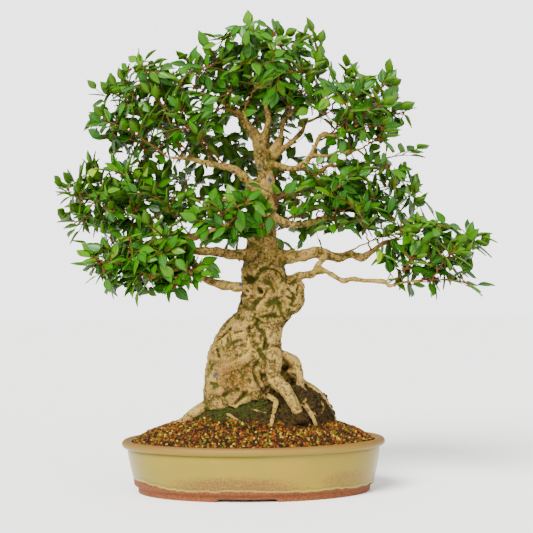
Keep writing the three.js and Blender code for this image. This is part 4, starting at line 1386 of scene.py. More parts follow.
@dataclass
class Wood:
    """Trunk, roots and branches: one grown body."""

    cell: float = 1.9
    lobe_size: float = 30.0
    lobe_depth: float = 7.0
    ridge_depth: float = 10.0
    limb_sides: int = 10
    # The bark's relief. What bends its pattern: grain and reach in millimetres.
    warp: Pair = (30.0, 45.0)
    # Its noises, grain in millimetres, detail and roughness: where the cracks are, folds and creases.
    cracked: Row = (40.0, 2.0, 0.55)
    folds: Row = (10.0, 6.0, 0.78)
    creases: Row = (15.0, 5.0, 0.62)
    # The depth of the cracks and the height of the creases.
    crack_depth: float = 3.0
    crease_height: float = 1.3
    # How much thicker a branch is at its foot, and over which share of its length that fades.
    flare: Pair = (0.5, 0.07)
    root_flare: float = 1.15
    # The knobs of a limb, coarse and fine, as shares of its radius, and what a root has of them.
    knobs: Pair = (0.1, 0.06)
    root_knobs: float = 0.3
    # How a root ends: how far ahead, and how wide it is there, as shares of its radius.
    root_end: tuple[Pair, ...] = ((0.35, 0.95), (0.7, 0.75), (1.0, 0.4))
    # The limb's radius from which wood counts as thick, how far round a limb its skin is looked for, and
    # what counts as its skin: a share of its radius and some millimetres.
    thick: float = 22.0
    girth_span: float = 30.0
    skin_reach: Pair = (1.7, 1.5)
    # Small and large swellings: the rounds of smoothing that find them, and their height in millimetres.
    swellings: tuple[tuple[int, float], ...] = ((5, 0.9), (45, 3.2))
    # Wet bark: the height up to which it reaches, over how many millimetres it fades, and its moss.
    wet: Row = (165.0, 60.0, 0.22)
    # Mossy places of the front: x and height of the middle, the half sizes and the strength.
    moss_spots: tuple[Row, ...] = (
        (-60.0, 170.0, 15.0, 26.0, 0.22), (62.0, 276.0, 15.0, 34.0, 0.3))
    # Hollows of the front: place in the picture, reach and depth inwards, in millimetres.
    dabs: tuple[Row, ...] = (
        (-2.6, 321.0, 8.0, 8.0), (14.9, 302.0, 4.5, 7.0), (30.0, 283.0, 9.0, 5.0), (52.0, 186.0, 9.0, 9.0),
        (60.0, 170.0, 8.0, 8.0), (-14.0, 262.0, 6.0, 3.0), (-31.0, 223.0, 7.0, 3.0), (21.0, 219.0, 6.0, 4.0))
    # How far outwards and inwards the marks may move the bark at most.
    mark_limits: Pair = (-9.0, 11.0)
    # Places of the picture where the wounds were sealed with paste.
    paste: tuple[Pair, ...] = (
        (-14.4, 312.8), (19.2, 400.7), (16.6, 491.0), (32.0, 470.3), (-55.8, 175.9))
    paste_reach: float = 4.0
    # The ochre stain: its middle, its reach and its strength.
    stain: tuple[Point, float, float] = ((-22, -50, 172), 27.0, 0.75)
    # Grooves, and ridges with a depth below 0: depth and reach in millimetres, and pixels of the photograph.
    marks: tuple[tuple[float, float, tuple[Pair, ...]], ...] = (
        (7.0, 4.5, ((247, 278), (254, 280), (261, 277))),
        (4.0, 3.0, ((261, 274), (267, 269), (275, 269), (282, 273), (286, 281))),
        (-4.5, 4.0, ((258, 287), (263, 281), (266, 275), (272, 272), (278, 275), (281, 282))),
        (-3.5, 3.5, ((242, 286), (250, 285), (258, 289), (261, 295), (256, 300), (247, 298))),
        (6.0, 2.6, ((250, 291), (251, 292))),
        (5.0, 3.5, ((240, 297), (245, 303), (250, 308), (257, 309))),
        (5.0, 3.5, ((258, 304), (262, 300), (267, 296), (271, 289))),
        (6.0, 3.6, ((263, 290), (264, 292))),
        (5.0, 4.0, ((286, 278), (293, 283), (299, 281))),
        (3.5, 3.0, ((292, 290), (297, 296), (295, 305))),
        (5.0, 3.8, ((282, 304), (284, 312), (287, 318), (290, 323))),
        (4.0, 3.0, ((267, 317), (275, 316), (283, 318))),
        (5.5, 3.5, ((261, 321), (261, 328), (266, 333), (268, 341), (266, 348))),
        (5.5, 3.5, ((262, 350), (265, 357), (270, 361), (277, 361))),
        (6.0, 3.0, ((221, 338), (227, 333), (232, 328))),
        (3.5, 3.2, ((237, 342), (244, 341))),
        (3.0, 3.0, ((237, 332), (244, 331))),
        (4.0, 3.0, ((219, 349), (221, 356))),
        (4.5, 3.6, ((210, 382), (217, 385))),
        (3.5, 3.0, ((240, 311), (241, 314))),
        (4.5, 3.5, ((260, 363), (256, 370), (259, 380), (264, 388), (268, 396))),
        (6.0, 4.0, ((236, 405), (242, 399), (247, 394))),
        (4.0, 3.0, ((225, 396), (232, 391), (240, 389))),
        (-3.0, 6.0, ((238, 324), (247, 337), (252, 350), (247, 360))),
        (-2.5, 5.0, ((226, 368), (238, 362), (250, 361))),
        (-5.0, 4.5, ((291, 368), (291, 372))),
    )

    def limbs(self) -> Object:
        """Makes the branches and roots as round limbs, with a flared foot and a knobbly skin.

        Returns:
            The limbs.
        """
        lines = Lines()
        draw = random.Random(SEED)
        wider, fades = self.flare
        coarse, fine = self.knobs
        for branch in (*BRANCHES, *ROOTS):
            line = branch.line(4 * MM)
            shares = lengths_along(line)
            ends = [1.0] * len(line)
            if branch in ROOTS:
                ahead = (line[-1] - line[-2]).normalized() * branch.radii[1] * MM
                line += [line[-1] + ahead * reach for reach, _ in self.root_end]
                shares += [1.0] * len(self.root_end)
                ends += [width for _, width in self.root_end]
            phase = draw.uniform(0, 6)
            rough = 1.0 if branch in BRANCHES else self.root_knobs
            radii = []
            for i, share in enumerate(shares):
                flare = 1 + wider * math.exp(-share / fades) if branch.tips else self.root_flare
                knobs = coarse * math.sin(i * 1.3 + phase) + fine * math.sin(i * 2.9 + 2 * phase)
                knobs = 1 + rough * knobs
                radii.append(branch.radius(share) * flare * knobs * ends[i])
            lines.add(line, radii)
        return lines.limbs("branch_limbs", self.limb_sides)

    def girth(self, points: np.ndarray) -> np.ndarray:
        """Tells thick wood from thin.

        Args:
            points: Corners of the wood, in metres.

        Returns:
            For each corner 0 on the thinnest twigs to 1 on the trunk.
        """
        found = np.ones(len(points))
        share, more = self.skin_reach
        for branch in (*BRANCHES, *ROOTS):
            line = np.array([list(p) for p in branch.line(6 * MM)])
            shares = np.array(lengths_along([Vector(p) for p in line]))
            radii = branch.radius(shares) * MM
            near, away = near_line(points, line, self.girth_span * MM)
            best = away.argmin(1)
            is_limb = away[np.arange(len(near)), best] < radii[best] * share + more * MM
            here = near[is_limb]
            value = np.clip(radii[best[is_limb]] / (self.thick * MM), 0.05, 1.0)
            found[here] = np.minimum(found[here], value)
        return found

    def relief_tree(self) -> NodeTree:
        """Builds the tree that swells the bark into lobes, with ridges and patchy cracks between them.

        Returns:
            The tree.
        """
        add, start = geometry_tree("bark_relief", [
            ("Lobe size", "NodeSocketFloat", 30 * MM), ("Lobe depth", "NodeSocketFloat", 7 * MM),
            ("Ridge depth", "NodeSocketFloat", 6 * MM), ("Finish", "NodeSocketMaterial", None)])
        place = add(Node.POSITION)
        grain, push = self.warp
        warp = add(Node.WARP, place, per_mm(grain), 3.0)
        pushed = add(Node.SCALE, add(Node.SHIFT_BACK, warp, (0.5, 0.5, 0.5)), push * MM)
        long = add(Node.STRETCH, add(Node.SHIFT, place, pushed), (1.0, 1.0, 0.7))
        scale = add(Node.DIVIDE, 1.0, start.outputs["Lobe size"])
        cells = add(Node.SOFT_CELLS, long, scale, 0.4)
        lobe = add(Node.MULTIPLY, add(Node.SUBTRACT, 0.42, cells), start.outputs["Lobe depth"])
        seam = add(Node.STEP, add(Node.CELL_EDGES, long, scale), 0.14, 0.0)
        size, detail, rough = self.cracked
        patchy = add(Node.STEP, add(Node.NOISE, place, per_mm(size), detail, rough), 0.47, 0.58)
        cut = add(Node.MULTIPLY, add(Node.MULTIPLY, seam, patchy), -self.crack_depth * MM)
        size, detail, rough = self.folds
        folds = add(Node.NOISE, long, per_mm(size), detail, rough)
        folded = add(Node.MULTIPLY, add(Node.SUBTRACT, folds, 0.5), start.outputs["Ridge depth"])
        size, detail, rough = self.creases
        ridge = add(Node.RIDGES, long, per_mm(size), detail, rough)
        creased = add(Node.MULTIPLY, add(Node.MINIMUM, ridge, 1.6), self.crease_height * MM)
        height = add(Node.ADD, add(Node.ADD, lobe, cut), add(Node.ADD, folded, creased))
        height = add(Node.MULTIPLY, height, add(Node.NAMED, "girth"))
        offset = add(Node.SCALE, add(Node.NORMAL), height)
        moved = add(Node.MOVE, start.outputs[0], offset)
        return end_tree(start, [moved], [(start.outputs["Finish"], None)])

    def press_marks(self, piece: Object) -> np.ndarray:
        """Sinks the hollows and grooves of the front and raises its ridges.

        Args:
            piece: The wood.

        Returns:
            For each corner how deep in a hollow it lies, up to 1, and below 0 on a ridge.
        """
        points, out = corners(piece), relaxed(piece, corners(piece, "normal"), 8)
        out /= np.linalg.norm(out, axis=1)[:, None] + 1e-9
        surface = surface_of([piece])
        depth, shift = np.zeros(len(points)), np.zeros(len(points))
        lines = [(inwards, reach, [(x, z)]) for x, z, reach, inwards in self.dabs]
        for inwards, reach, pixels in self.marks:
            route = smooth_line([Vector((*in_picture(pixel), 0.0)) for pixel in pixels], 2.0)
            lines.append((inwards, reach, [(place.x, place.y) for place in route]))
        for inwards, reach, places in lines:
            near, away = near_line(points, np.array(seen_at(surface, places)), 3 * reach * MM)
            share = np.exp(-(away.min(1) / (0.85 * reach * MM)) ** 2)
            shift[near] += share * inwards * MM
            if inwards > 0:
                depth[near] = np.maximum(depth[near], share ** 2.5)
            else:
                depth[near] -= 0.25 * share
        low, high = self.mark_limits
        move_to(piece, points - out * np.clip(shift, low * MM, high * MM)[:, None])
        return depth

    def dress(self, piece: Object, depth: np.ndarray, girth: np.ndarray) -> None:
        """Stores where the bark is raised, mossy, stained and pasted, and its painted shade and light.

        Args:
            piece: The wood.
            depth: The hollows of the front.
            girth: Thick wood from thin.
        """
        points, out = corners(piece), corners(piece, "normal")
        near, wide = (((relaxed(piece, points, rounds) - points) * out).sum(1) / (height * MM)
                      for rounds, height in self.swellings)
        # How sunk a corner lies: it draws moss into hollows, darkens them as painted shade and lightens
        # swellings as painted light.
        sunk = 0.38 * np.clip(wide, -1.2, 1.4) * np.clip(girth * 1.6, 0.25, 1)
        sunk += 0.21 * np.clip(near, -1.5, 1.5)
        # Painted shade: faces that look down are stored darker.
        shade = 0.14 * np.clip(-out[:, 2], 0, 1)
        # Painted shade and light for the bark's colour: low in hollows, grooves and under the wood, high on
        # swellings and ridges; thin wood a little lighter.
        store(piece, "relief", np.clip(0.6 - sunk - 0.6 * depth - shade + 0.06 * (1 - girth), 0, 1))
        local = in_mm(points)
        top, fade, strength = self.wet
        spots = np.clip((top - local[:, 2]) / fade, 0, 1) * strength
        for x, z, width, height, strength in self.moss_spots:
            spots += strength * np.exp(-((local[:, 0] - x) / width) ** 2 - ((local[:, 2] - z) / height) ** 2)
        mossy = 0.26 * np.clip(sunk * 1.5, -0.4, 1) + 0.1 * np.clip(out[:, 2], 0, 1)
        mossy += spots + 0.2 + 0.08 * np.clip(depth, -0.5, 1)
        store(piece, "moss", np.clip(mossy, 0, 1))
        middle, reach, strength = self.stain
        store(piece, "stain", strength * np.exp(-((local - np.array(middle)) ** 2).sum(1) / reach ** 2))
        surface = surface_of([piece])
        pasted = np.zeros(len(points))
        for middle in seen_at(surface, self.paste):
            away = np.linalg.norm(points - np.array(middle), axis=1) / (self.paste_reach * MM)
            pasted = np.maximum(pasted, np.exp(-away ** 2))
        store(piece, "paste", pasted)

    def build(self) -> Object:
        """Makes the finished wood.

        Returns:
            The wood.
        """
        parts = [merged_copy("trunk", "trunk_copy"), self.limbs()]
        wood = remeshed(joined("hornbeam_wood", parts), self.cell)
        girth = relaxed(wood, self.girth(corners(wood)), 6)
        move_to(wood, relaxed(wood, corners(wood), 12, np.clip(girth * 1.2 - 0.35, 0.02, 1)))
        store(wood, "girth", girth)
        grow_with(wood, self.relief_tree(), {
            "Lobe size": self.lobe_size * MM, "Lobe depth": self.lobe_depth * MM,
            "Ridge depth": self.ridge_depth * MM, "Finish": OldBark().material()})
        depth = self.press_marks(wood)
        self.dress(wood, depth, girth)
        shade_smooth(wood)
        return hand_over(wood, Slot.BARK, "trunk")


@dataclass
class LeafPlace:
    """Where a leaf stands: its base, its own axes, its length in metres and its tone."""

    base: Vector
    along: Vector
    up: Vector
    length: float
    tone: float

    def turn(self) -> tuple[float, float, float]:
        """Turns the pattern leaf into its place: x across, y along and z up.

        Returns:
            The rotation's three angles.
        """
        up = (self.up - self.along * self.up.dot(self.along)).normalized()
        across = self.along.cross(up)
        return tuple(Matrix((across, self.along, up)).transposed().to_euler())

    def middle(self) -> Vector:
        """Gives the middle of the leaf's blade."""
        return self.base + self.along * self.length * 0.55


@dataclass
class LeafPattern:
    """The one leaf that all are grown from: length 1 along y, and its upper face along z."""

    width: float = 0.6
    stalk: float = 0.1
    fold: float = 0.16
    droop: float = 0.1
    rib: float = 0.02
    # Share of the blade's length, and share of the half width there.
    outline: tuple[Pair, ...] = (
        (0.0, 0.16), (0.14, 0.74), (0.34, 1.0), (0.56, 0.87), (0.76, 0.5), (0.91, 0.15))
    across: Row = (-1.0, -0.5, 0.0, 0.5, 1.0)

    def point(self, share: float, side: float, wide: float, below: bool) -> Vector:
        """Places a corner of the blade.

        Args:
            share: How far along the blade.
            side: From -1 at the left rim to 1 at the right.
            wide: The share of the half width there.
            below: Whether it lies on the underside.

        Returns:
            The corner.
        """
        x = side * wide * self.width / 2
        y = self.stalk + share * (1 - self.stalk)
        z = self.fold * abs(x) - self.droop * y * y
        z += 0.012 * math.sin(share * 9) * abs(side)
        if below:
            z -= self.rib + 0.02 * (1 - abs(side))
        return Vector((x, y, z))

    def build(self, material: Material) -> Object:
        """Makes the pattern leaf.

        Args:
            material: The blade's material.

        Returns:
            The leaf, with its map and its underside marked.
        """
        across, last = len(self.across), len(self.across) - 1
        points = [self.point(s, a, w, False) for s, w in self.outline for a in self.across]
        end, lower = len(points) - across, len(points)
        points += [self.point(s, 0.0, w, True) for s, w in self.outline]
        tip = len(points)
        points.append(self.point(1.0, 0.0, 0.0, False))
        left, right, under = tip + 1, tip + 2, tip + 3
        points += [Vector((x, 0.0, z)) for x, z in ((-0.014, 0.01), (0.014, 0.01), (0.0, -0.014))]
        faces, below = [], []
        for row in range(len(self.outline) - 1):
            a, b = row * across, lower + row
            faces += [(i, i + 1, i + 1 + across, i + across) for i in range(a, a + last)]
            faces += [(a, a + across, b + 1, b), (b, b + 1, a + across + last, a + last)]
            below += [0.0] * last + [1.0, 1.0]
        faces += [(i, i + 1, tip) for i in range(end, end + last)]
        faces += [(end, tip, tip - 1), (tip - 1, tip, end + last)]
        faces += [(left, right, last, 0), (left, 0, lower, under)]
        faces += [(under, lower, last, right), (left, under, right)]
        below += [0.0] * last + [1.0] * 6
        leaf = mesh_object("pattern_leaf", points, faces)
        store(leaf, "underside", below, domain="FACE")
        uv = leaf.data.uv_layers.new(name="leaf")
        for loop in leaf.data.loops:
            point = leaf.data.vertices[loop.vertex_index].co
            uv.data[loop.index].uv = (point.x / self.width + 0.5, point.y)
        shade_smooth(leaf)
        leaf.data.materials.append(material)
        return leaf


def leaf_tree() -> NodeTree:
    """Builds the tree that grows twigs along lines, and leaves and buds on loose points.

    Returns:
        The tree.
    """
    add, start = geometry_tree("twigs_and_leaves", [
        ("Leaf", "NodeSocketObject", None), ("Blade", "NodeSocketMaterial", None),
        ("Wood", "NodeSocketMaterial", None), ("Scales", "NodeSocketMaterial", None),
        ("Twig sides", "NodeSocketInt", 5)])
    source = start.outputs[0]
    circle = add(Node.CIRCLE, start.outputs["Twig sides"], 1.0)
    thickness = add(Node.NAMED, "thickness")
    tubes = add(Node.TUBE, add(Node.TO_CURVE, source), circle, thickness, True)
    twigs = add(Node.SHADE_SMOOTH, tubes)
    size, bud = add(Node.NAMED, "size"), add(Node.NAMED, "bud")
    rotation = add(Node.TURN, add(Node.NAMED_VECTOR, "turn"))
    is_leaf, is_bud = add(Node.GREATER, size, 0.0), add(Node.GREATER, bud, 0.0)
    leaf = add(Node.OBJECT, start.outputs["Leaf"])
    leaves = add(Node.INSTANCES, source, is_leaf, leaf, rotation, size)
    slim = add(Node.RESHAPE, add(Node.BALL, 1.0, 1), (0.45, 1.0, 0.45))
    buds = add(Node.INSTANCES, source, is_bud, slim, rotation, bud)
    return end_tree(start, [twigs, leaves, buds], [
        (start.outputs["Wood"], None), (start.outputs["Blade"], is_leaf), (start.outputs["Scales"], is_bud)])


@dataclass
class Spray:
    """A leafy twig read from the frame: its stem, side twigs and leaves."""

    node: str
    stem: list[Vector]
    twigs: list[list[Vector]] = field(default_factory=list)
    leaves: list[LeafPlace] = field(default_factory=list)
    buds: list[LeafPlace] = field(default_factory=list)


@dataclass(frozen=True)
class Pad:
    """A cloud of leaves: an ellipsoid about the pot's middle, in millimetres, and its number of shoots."""

    middle: Point
    radii: Point
    shoots: int


PADS = (
    Pad((14, 6, 632), (116, 96, 74), 288),
    Pad((-140, 24, 580), (110, 100, 82), 288),
    Pad((-192, 24, 444), (108, 98, 62), 271),
    Pad((-148, -50, 346), (94, 62, 46), 225),
    Pad((160, 0, 572), (76, 95, 64), 183),
    Pad((162, 14, 446), (110, 104, 57), 253),
    Pad((272, -28, 356), (82, 58, 56), 148),
    Pad((-18, -84, 412), (58, 42, 36), 70),
    Pad((10, 120, 480), (150, 56, 130), 192),
)


class Crowding:
    """Keeps leaves apart, with a grid whose cells are as wide as the distance they keep."""

    def __init__(self, distance: float) -> None:
        """Starts empty, for a distance in metres."""
        self.distance = distance
        self.cells: dict[tuple[int, int, int], list[Vector]] = {}

    def cell(self, point: Vector) -> tuple[int, int, int]:
        """Gives the cell that a point lies in."""
        return tuple(math.floor(c / self.distance) for c in point)

    def add(self, point: Vector) -> None:
        """Takes a place."""
        self.cells.setdefault(self.cell(point), []).append(point)

    def is_free(self, point: Vector) -> bool:
        """Tells whether nothing is nearer than the distance.

        Args:
            point: The place.

        Returns:
            Whether it is free.
        """
        x, y, z = self.cell(point)
        cells = ((x + i, y + j, z + k) for i in (-1, 0, 1) for j in (-1, 0, 1) for k in (-1, 0, 1))
        near = (other for cell in cells for other in self.cells.get(cell, ()))
        return all((point - other).length > self.distance for other in near)


@dataclass
class Foliage:
    """All leafy sprays. The leaves of the frame keep their places, and a seeded rule adds more shoots."""

    rib: float = 1.5
    droop: float = 0.1
    tip_share: float = 0.32
    side_shares: Pair = (0.5, 0.75)
    # In the frame: how far a leaf's tip is from its widest place, and the length of a side twig.
    tip_reach: Pair = (6.0, 11.0)
    twig_length: Pair = (24.0, 36.0)
    stem_radii: Pair = (1.5, 0.6)
    shoot_radii: Pair = (1.0, 0.5)
    reach: Pair = (8.0, 80.0)
    leaf_gap: float = 9.0
    leaf_length: Pair = (21.0, 31.0)
    # How an added leaf faces along each axis and away from the trunk, how far it splays from its shoot,
    # and its rise.
    facing: tuple[Pair, ...] = ((-0.5, 0.5), (-0.6, 0.3), (0.35, 0.95))
    outward: float = 0.75
    splay: Pair = (0.55, 1.15)
    rise: Pair = (-0.25, 0.4)
    tries: int = 4
    spacing: float = 6.2
    bud: Pair = (1.8, 3.8)
    buds_each: int = 3
    # The share of young shoots, and their leaves' tone.
    young: Pair = (0.05, 0.98)
    # The tone of the frame's leaves: mean and spread. That of the added leaves, painted shade in a pad's
    # middle
    # and painted light on its rim and top: in the middle, what its rim and its top add, the spread and the
    # lightest.
    own_tone: Pair = (0.45, 0.15)
    tone: Row = (0.28, 0.22, 0.12, 0.14, 0.92)
    # How evenly the shoots fill a pad: 1/3 is even, and more draws them to its middle.
    evenness: float = 0.42
    passes: int = 5
    most_points: int = 60000
    # Where the sky or the trunk shows: x and z from and to, the share of leaves left out, and up to which y.
    kept_bare: tuple[tuple[Row, float, float], ...] = (
        ((36.0, 140.0, 474.0, 574.0), 0.94, 999.0),
        ((-48.0, 84.0, 100.0, 376.0), 1.0, 20.0),
        ((-2.0, 38.0, 452.0, 566.0), 0.75, 20.0),
    )
    taken: Crowding = field(init=False)

    def __post_init__(self) -> None:
        """Starts with no places taken."""
        self.taken = Crowding(self.spacing * MM)

    def read_leaves(self, node: str) -> list[LeafPlace]:
        """Finds the leaves of a spray in the frame. Each has its tip where three faces meet.

        Args:
            node: The spray's CAD node.

        Returns:
            The leaves' places.
        """
        copy = merged_copy(node, "spray_copy")
        sag = 1 - (1 - self.tip_share) ** 2
        shortest, longest = self.tip_reach
        near: dict[int, set[int]] = {}
        for a, b in (edge.vertices for edge in copy.data.edges):
            near.setdefault(a, set()).add(b)
            near.setdefault(b, set()).add(a)
        points = [v.co.copy() for v in copy.data.vertices]
        bpy.data.objects.remove(copy)
        found = []
        for i, around in near.items():
            if len(around) != 3:
                continue
            for middle in around:
                rims = [points[k] for k in around if k != middle]
                centre = (rims[0] + rims[1]) / 2
                up = centre - points[middle]
                reach = points[i] - centre
                if abs(up.length / MM - self.rib) > 0.3 or not shortest < reach.length / MM < longest:
                    continue
                up.normalize()
                length = reach.length / math.hypot(self.tip_share, self.droop * sag)
                along = (reach + up * self.droop * length * sag).normalized()
                base = points[i] - along * length + up * self.droop * length
                found.append(LeafPlace(base, along, up, length, 0.0))
                break
        return found

    def read_spray(self, branch: Branch, index: int) -> Spray:
        """Rebuilds a spray of the frame.

        Args:
            branch: Its branch.
            index: Which of the branch's tips it has.

        Returns:
            The spray with its stem, side twigs and leaves.
        """
        node = branch.nodes()[index]
        tip = placed(branch.tips[index])
        line = branch.line(4 * MM)
        skin = corners(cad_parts[node])
        middle = np.array([list(p) for p in line])
        away = np.linalg.norm(skin[:, None, :] - middle[None, :, :], axis=2).min(1)
        root = Vector(skin[np.argsort(away)[:9]].mean(0))
        start = min(line, key=lambda p: (p - root).length)
        knee = start.lerp(tip, 0.5) + Vector((0.0, 0.0, 0.1 * (tip - start).length))
        bend = [start.lerp(knee, 2 / 3), tip.lerp(knee, 2 / 3)]
        stem = [Vector(p) for p in interpolate_bezier(start, bend[0], bend[1], tip, 13)]
        kink = (tip - start).cross(Vector((0.3, 0.2, 1.0))).normalized() * 1.3 * MM
        stem = [p + kink * (-1) ** i * (0 < i < 12) for i, p in enumerate(stem)]
        spray = Spray(node, stem, leaves=self.read_leaves(node))
        rough = [stem[0], stem[4], stem[8], stem[12]]
        shortest, longest = (length * MM for length in self.twig_length)
        for share in self.side_shares:
            foot = point_at(rough, share)
            ends = [leaf.base for leaf in spray.leaves if shortest < (leaf.base - foot).length < longest]
            pairs = [end for end in ends if any((leaf.base - foot.lerp(end, 0.5)).length < 1.5 * MM
                                                for leaf in spray.leaves)]
            for end in (pairs or ends)[:1]:
                bow = Vector((0.0, 0.0, 1.5 * MM))
                spray.twigs.append([foot, foot.lerp(end, 0.33) + bow, foot.lerp(end, 0.66) + bow, end])
        return spray

    def is_clear(self, point: Vector, draw: random.Random) -> bool:
        """Tells whether a leaf's middle may be at a place.

        Args:
            point: The place.
            draw: The random draw.

        Returns:
            Whether it lies in the box, off the trunk and the gaps, and apart from the other leaves.
        """
        low, high = CAD_BOX
        if any(point[i] < low[i] - 2 * MM or point[i] > high[i] + 2 * MM for i in range(3)):
            return False
        x, y, z = (point - placed((0, 0, 0))) / MM
        for (left, right, lower, upper), chance, depth in self.kept_bare:
            if left < x < right and lower < z < upper and y < depth and draw.random() < chance:
                return False
        return self.taken.is_free(point)

    def add_leaf(self, spray: Spray, base: Vector, heading: Vector, side: int, draw: random.Random,
                 tone: float) -> None:
        """Adds a leaf beside a shoot, where it has room.

        Args:
            spray: The spray that gets it.
            base: Its foot.
            heading: The shoot's direction there.
            side: -1 for the left, 1 for the right, 0 for the end.
            draw: The random draw.
            tone: How light the leaf is.
        """
        local = base - placed((20, 0, 0))
        outward = Vector((local.x, local.y, 0.0)).normalized()
        for _ in range(self.tries):
            facing = Vector([draw.uniform(*span) for span in self.facing])
            facing += outward * self.outward
            facing.normalize()
            along = Quaternion(facing, side * draw.uniform(*self.splay)) @ heading
            along.z += draw.uniform(*self.rise)
            along.normalize()
            leaf = LeafPlace(base, along, facing, draw.uniform(*self.leaf_length) * MM, tone)
            if self.is_clear(leaf.middle(), draw):
                self.taken.add(leaf.middle())
                spray.leaves.append(leaf)
                return

    def shoot_line(self, foot: Vector, heading: Vector, end: Vector, draw: random.Random) -> list[Vector]:
        """Draws a zigzag shoot.

        Args:
            foot: Where it starts.
            heading: The direction of the wood that it leaves.
            end: Where it ends.
            draw: The random draw.

        Returns:
            Points one leaf apart.
        """
        span = end - foot
        count = max(2, round(span.length / (self.leaf_gap * MM)))
        knee = foot + heading * span.length * 0.35 + Vector((0.0, 0.0, 0.08 * span.length))
        bow = interpolate_bezier(foot, foot.lerp(knee, 2 / 3), end.lerp(knee, 2 / 3), end, count + 1)
        side = span.cross(Vector((draw.uniform(-1, 1), draw.uniform(-1, 1), 1.0))).normalized() * 1.1 * MM
        return [Vector(p) + side * (-1) ** i * (0 < i < count) for i, p in enumerate(bow)]

    def fill(self, sprays: Sequence[Spray], wood: Sequence[tuple[Vector, Vector, int]]) -> None:
        """Grows shoots from the nearest wood to places in the pads.

        Args:
            sprays: All sprays.
            wood: Points of the wood, each with its heading and the number of its spray.
        """
        draw = random.Random(SEED)
        share, fresh = self.young
        inner, rim, top, spread, lightest = self.tone
        wood = list(wood)
        places = np.zeros((self.most_points, 3))
        places[:len(wood)] = [point for point, _, _ in wood]
        aims = []
        for pad in PADS:
            for _ in range(pad.shoots):
                way = Vector([draw.gauss(0, 1) for _ in range(3)]).normalized()
                way *= draw.random() ** self.evenness
                aims.append((placed([m + w * r for m, w, r in zip(pad.middle, way, pad.radii)]), way))
        draw.shuffle(aims)
        for _ in range(self.passes):
            left = []
            for aim, way in aims:
                away = np.linalg.norm(places[:len(wood)] - np.array(aim), axis=1)
                nearest = int(away.argmin())
                if away[nearest] > self.reach[1] * MM:
                    left.append((aim, way))
                    continue
                if away[nearest] < self.reach[0] * MM:
                    continue
                foot, heading, number = wood[nearest]
                line = self.shoot_line(foot, heading, aim, draw)
                spray = sprays[number]
                young = draw.random() < share
                # Painted light: leaves on a pad's rim and top are lighter; those in its middle and below are
                # darker, as painted shade.
                painted_light_tone = inner + rim * way.length ** 3 + top * way.z
                before = len(spray.leaves)
                for i in range(1, len(line)):
                    run = (line[i] - line[i - 1]).normalized()
                    tone = fresh if young and i > 2 else min(lightest, max(0.0, draw.gauss(painted_light_tone, spread)))
                    side = 0 if i == len(line) - 1 else (-1) ** i
                    self.add_leaf(spray, line[i], run, side, draw, tone)
                if len(spray.leaves) == before:
                    continue
                spray.twigs.append(line)
                for _ in range(self.buds_each):
                    way = (heading + Vector([draw.uniform(-1, 1) for _ in range(3)])).normalized()
                    out = foot.lerp(line[1], draw.uniform(0.1, 0.5))
                    size = draw.uniform(*self.bud) * MM
                    spray.buds.append(LeafPlace(out, way, Vector((0.2, 0.1, 1.0)), size, 0.5))
                for start, point in zip(line, line[1:]):
                    places[len(wood)] = point
                    wood.append((point, (point - start).normalized(), number))
            aims = left

    def grow(self) -> dict[str, list[Spray]]:
        """Reads the sprays from the frame and grows more shoots on them.

        Returns:
            Each branch's sprays.
        """
        draw = random.Random(SEED)
        sprays, wood, by_branch = [], [], {}
        for branch in (b for b in BRANCHES if b.tips):
            own = [self.read_spray(branch, i) for i in range(len(branch.tips))]
            line = branch.line(8 * MM)
            for i in range(len(line) // 4, len(line) - 1):
                wood.append((line[i], (line[i + 1] - line[i]).normalized(), len(sprays) + i % len(own)))
            for spray in own:
                for leaf in spray.leaves:
                    leaf.tone = min(1.0, max(0.0, draw.gauss(*self.own_tone)))
                    self.taken.add(leaf.middle())
                for twig in (spray.stem, *spray.twigs):
                    for start, point in zip(twig[1:], twig[2:]):
                        wood.append((point, (point - start).normalized(), len(sprays)))
                sprays.append(spray)
            by_branch[branch.name] = own
        self.fill(sprays, wood)
        return by_branch

    def base_mesh(self, branch: Branch, sprays: Sequence[Spray]) -> Object:
        """Lays out the lines of the twigs and the points of the leaves.

        Args:
            branch: The branch.
            sprays: Its sprays.

        Returns:
            A mesh of edges and loose points with the attributes that the tree reads.
        """
        lines = Lines()
        for spray in sprays:
            for number, line in enumerate([spray.stem, *spray.twigs]):
                first, last = self.stem_radii if number == 0 else self.shoot_radii
                lines.add(line, [first + (last - first) * share for share in lengths_along(line)])
        wood = len(lines.points)
        leaves = [leaf for spray in sprays for leaf in spray.leaves]
        buds = [bud for spray in sprays for bud in spray.buds]
        points = lines.points + [place.base for place in (*leaves, *buds)]
        piece = mesh_object(f"foliage_{branch.name}", points, edges=lines.edges)
        none, flat = [0.0] * wood, [(0.0, 0.0, 0.0)] * wood
        store(piece, "thickness", lines.radii + [0.0] * (len(leaves) + len(buds)))
        store(piece, "size", none + [leaf.length for leaf in leaves] + [0.0] * len(buds))
        store(piece, "bud", none + [0.0] * len(leaves) + [bud.length for bud in buds])
        store(piece, "tone", none + [place.tone for place in (*leaves, *buds)])
        store(piece, "turn", flat + [place.turn() for place in (*leaves, *buds)], "FLOAT_VECTOR")
        return piece

    def build(self) -> list[Object]:
        """Makes one finished piece of foliage for each branch.

        Returns:
            The pieces.
        """
        blade, bark, scales = LeafBlade().material(), TwigBark().material(), BUD_SCALES.material()
        leaf = LeafPattern().build(blade)
        tree, pieces, grown = leaf_tree(), [], self.grow()
        for branch in (b for b in BRANCHES if b.tips):
            sprays = grown[branch.name]
            count = sum(len(spray.leaves) for spray in sprays)
            piece = self.base_mesh(branch, sprays)
            grow_with(piece, tree, {"Leaf": leaf, "Blade": blade, "Wood": bark, "Scales": scales})
            log.info("%s: %d leaves, %d faces", piece.name, count, len(piece.data.polygons))
            pieces.append(hand_over(piece, Slot.LEAVES, *branch.nodes()))
        bpy.data.objects.remove(leaf)
        return pieces


